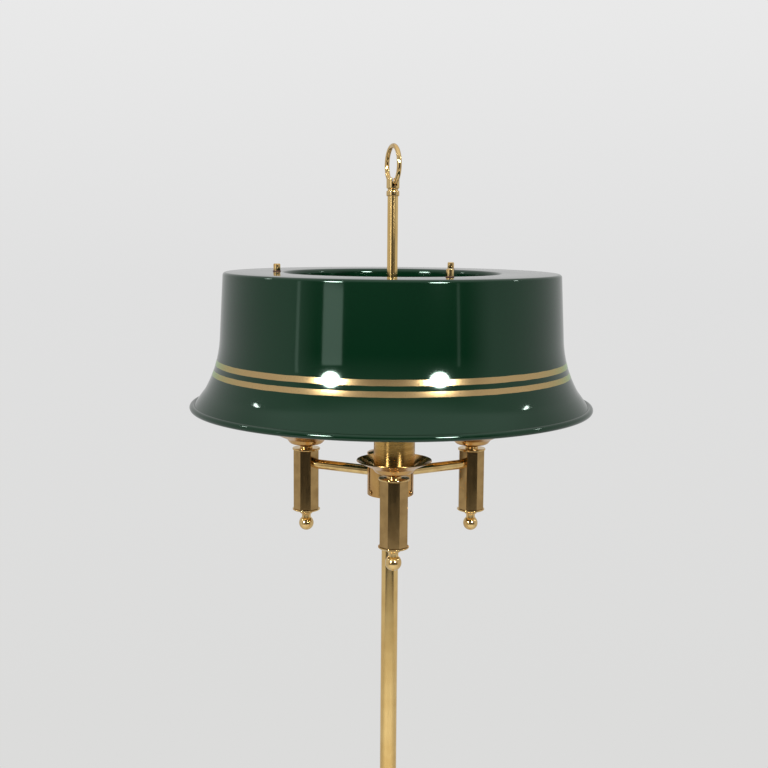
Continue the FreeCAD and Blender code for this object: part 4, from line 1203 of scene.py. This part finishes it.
def makeFloor():
    # a pale sheet, mostly in front of the lamp, that fades out so that no edge shows
    look = floorLook
    body = bmesh.new()
    bmesh.ops.create_circle(body, cap_ends=True, radius=look["radius"], segments=96)
    bmesh.ops.translate(body, vec=(0, -look["centre"], 0), verts=body.verts)
    mesh = bpy.data.meshes.new("floor")
    body.to_mesh(mesh)
    body.free()
    floor = bpy.data.objects.new("floor", mesh)
    scene.collection.objects.link(floor)
    finish = bpy.data.materials.new("paperFloor")
    finish.use_nodes = True
    tree = finish.node_tree
    tree.nodes.clear()
    place = addNode(tree, "ShaderNodeTexCoord").outputs["Object"]
    away = addNode(tree, "ShaderNodeVectorMath", {0: place, 1: (0, look["centre"], 0)}, operation="ADD")
    size = addNode(tree, "ShaderNodeVectorMath", {0: away.outputs[0]}, operation="LENGTH").outputs["Value"]
    fade = addNode(tree, "ShaderNodeMapRange", {
        "Value": size, "From Min": look["fadeStart"], "From Max": look["fadeEnd"]},
        interpolation_type="SMOOTHSTEP").outputs[0]
    grain = addNode(tree, "ShaderNodeTexNoise", {"Vector": place, "Scale": perMm(look["speck"]), "Detail": 3.0})
    tint = addNode(tree, "ShaderNodeMix", {
        "Factor": grain.outputs["Fac"], "A": linear(look["colour"]), "B": linear(look["second"])},
        data_type="RGBA")
    paper = addNode(tree, "ShaderNodeBsdfPrincipled", {
        "Base Color": tint.outputs["Result"], "Roughness": look["roughness"]})
    clear = addNode(tree, "ShaderNodeBsdfTransparent")
    faded = addNode(tree, "ShaderNodeMixShader", {0: fade, 1: paper.outputs[0], 2: clear.outputs[0]})
    under = addNode(tree, "ShaderNodeNewGeometry").outputs["Backfacing"]
    sided = addNode(tree, "ShaderNodeMixShader", {0: under, 1: faded.outputs[0], 2: clear.outputs[0]})
    addNode(tree, "ShaderNodeOutputMaterial", {"Surface": sided.outputs[0]})
    mesh.materials.append(finish)


# azimuth and elevation in degrees, distance from the shade and size in metres, and glow as radiance
panels = {
    "keyLeft": {"azimuth": -38, "elevation": 18, "distance": 3.0, "size": (0.6, 0.6), "glow": 90.0},
    "keyRight": {"azimuth": 30, "elevation": 18, "distance": 3.0, "size": (0.6, 0.6), "glow": 90.0},
    "sideLeft": {"azimuth": -93, "elevation": 28, "distance": 2.2, "size": (0.12, 0.2), "glow": 30.0},
    "sideRight": {"azimuth": 93, "elevation": 28, "distance": 2.2, "size": (0.12, 0.2), "glow": 30.0},
    "window": {"azimuth": -37, "elevation": -1, "distance": 3.2, "size": (0.72, 1.0), "glow": 1.7},
    "stripLeft": {"azimuth": -61, "elevation": 2, "distance": 3.2, "size": (0.12, 1.2), "glow": 0.9},
    "stripRight": {"azimuth": 42, "elevation": 0, "distance": 3.2, "size": (0.1, 0.9), "glow": 0.6},
}
roundPanels = ("keyLeft", "keyRight", "sideLeft", "sideRight")


def makeLights():
    target = middle("shade_shell") / 1000
    for name, panel in panels.items():
        width, height = panel["size"]
        light = bpy.data.lights.new(name, "AREA")
        isRound = name in roundPanels
        light.shape = "ELLIPSE" if isRound else "RECTANGLE"
        light.size = width
        light.size_y = height
        area = width * height * (math.pi / 4 if isRound else 1.0)
        light.energy = panel["glow"] * math.pi * area
        lamp = bpy.data.objects.new(name, light)
        rise = math.radians(panel["elevation"])
        out = heading(panel["azimuth"]) * math.cos(rise) + Vector((0, 0, math.sin(rise)))
        lamp.location = target + out * panel["distance"]
        lamp.rotation_mode = "QUATERNION"
        lamp.rotation_quaternion = out.to_track_quat("Z", "Y")
        lamp.visible_camera = False
        scene.collection.objects.link(lamp)


# lens and distances in millimetres, turns in radians
cameraView = {"lens": 55.38, "forward": 1174.5, "aboveRim": 175.8, "yaw": -0.0062, "pitch": 0.1318,
              "roll": 0.0077}


def makeCamera():
    look = cameraView
    data = bpy.data.cameras.new("view")
    data.sensor_width = 36.0
    data.lens = look["lens"]
    data.clip_start = 0.05
    data.clip_end = 60.0
    camera = bpy.data.objects.new("view", data)
    scene.collection.objects.link(camera)
    rim = span("shade_shell")[0].z + shadeSizes["bead"]
    camera.location = (0, -look["forward"] / 1000, (rim + look["aboveRim"]) / 1000)
    flat = Vector((math.sin(look["yaw"]), math.cos(look["yaw"]), 0))
    ahead = flat * math.cos(look["pitch"]) - Vector((0, 0, math.sin(look["pitch"])))
    right = Vector((flat.y, -flat.x, 0))
    up = right.cross(ahead)
    turnedRight = right * math.cos(look["roll"]) + up * math.sin(look["roll"])
    turnedUp = up * math.cos(look["roll"]) - right * math.sin(look["roll"])
    camera.rotation_mode = "QUATERNION"
    camera.rotation_quaternion = Matrix((turnedRight, turnedUp, -ahead)).transposed().to_quaternion()
    scene.camera = camera


makeRoom()
makeFloor()
makeLights()
makeCamera()
scene.view_settings.view_transform = "Standard"
print("studio ready")
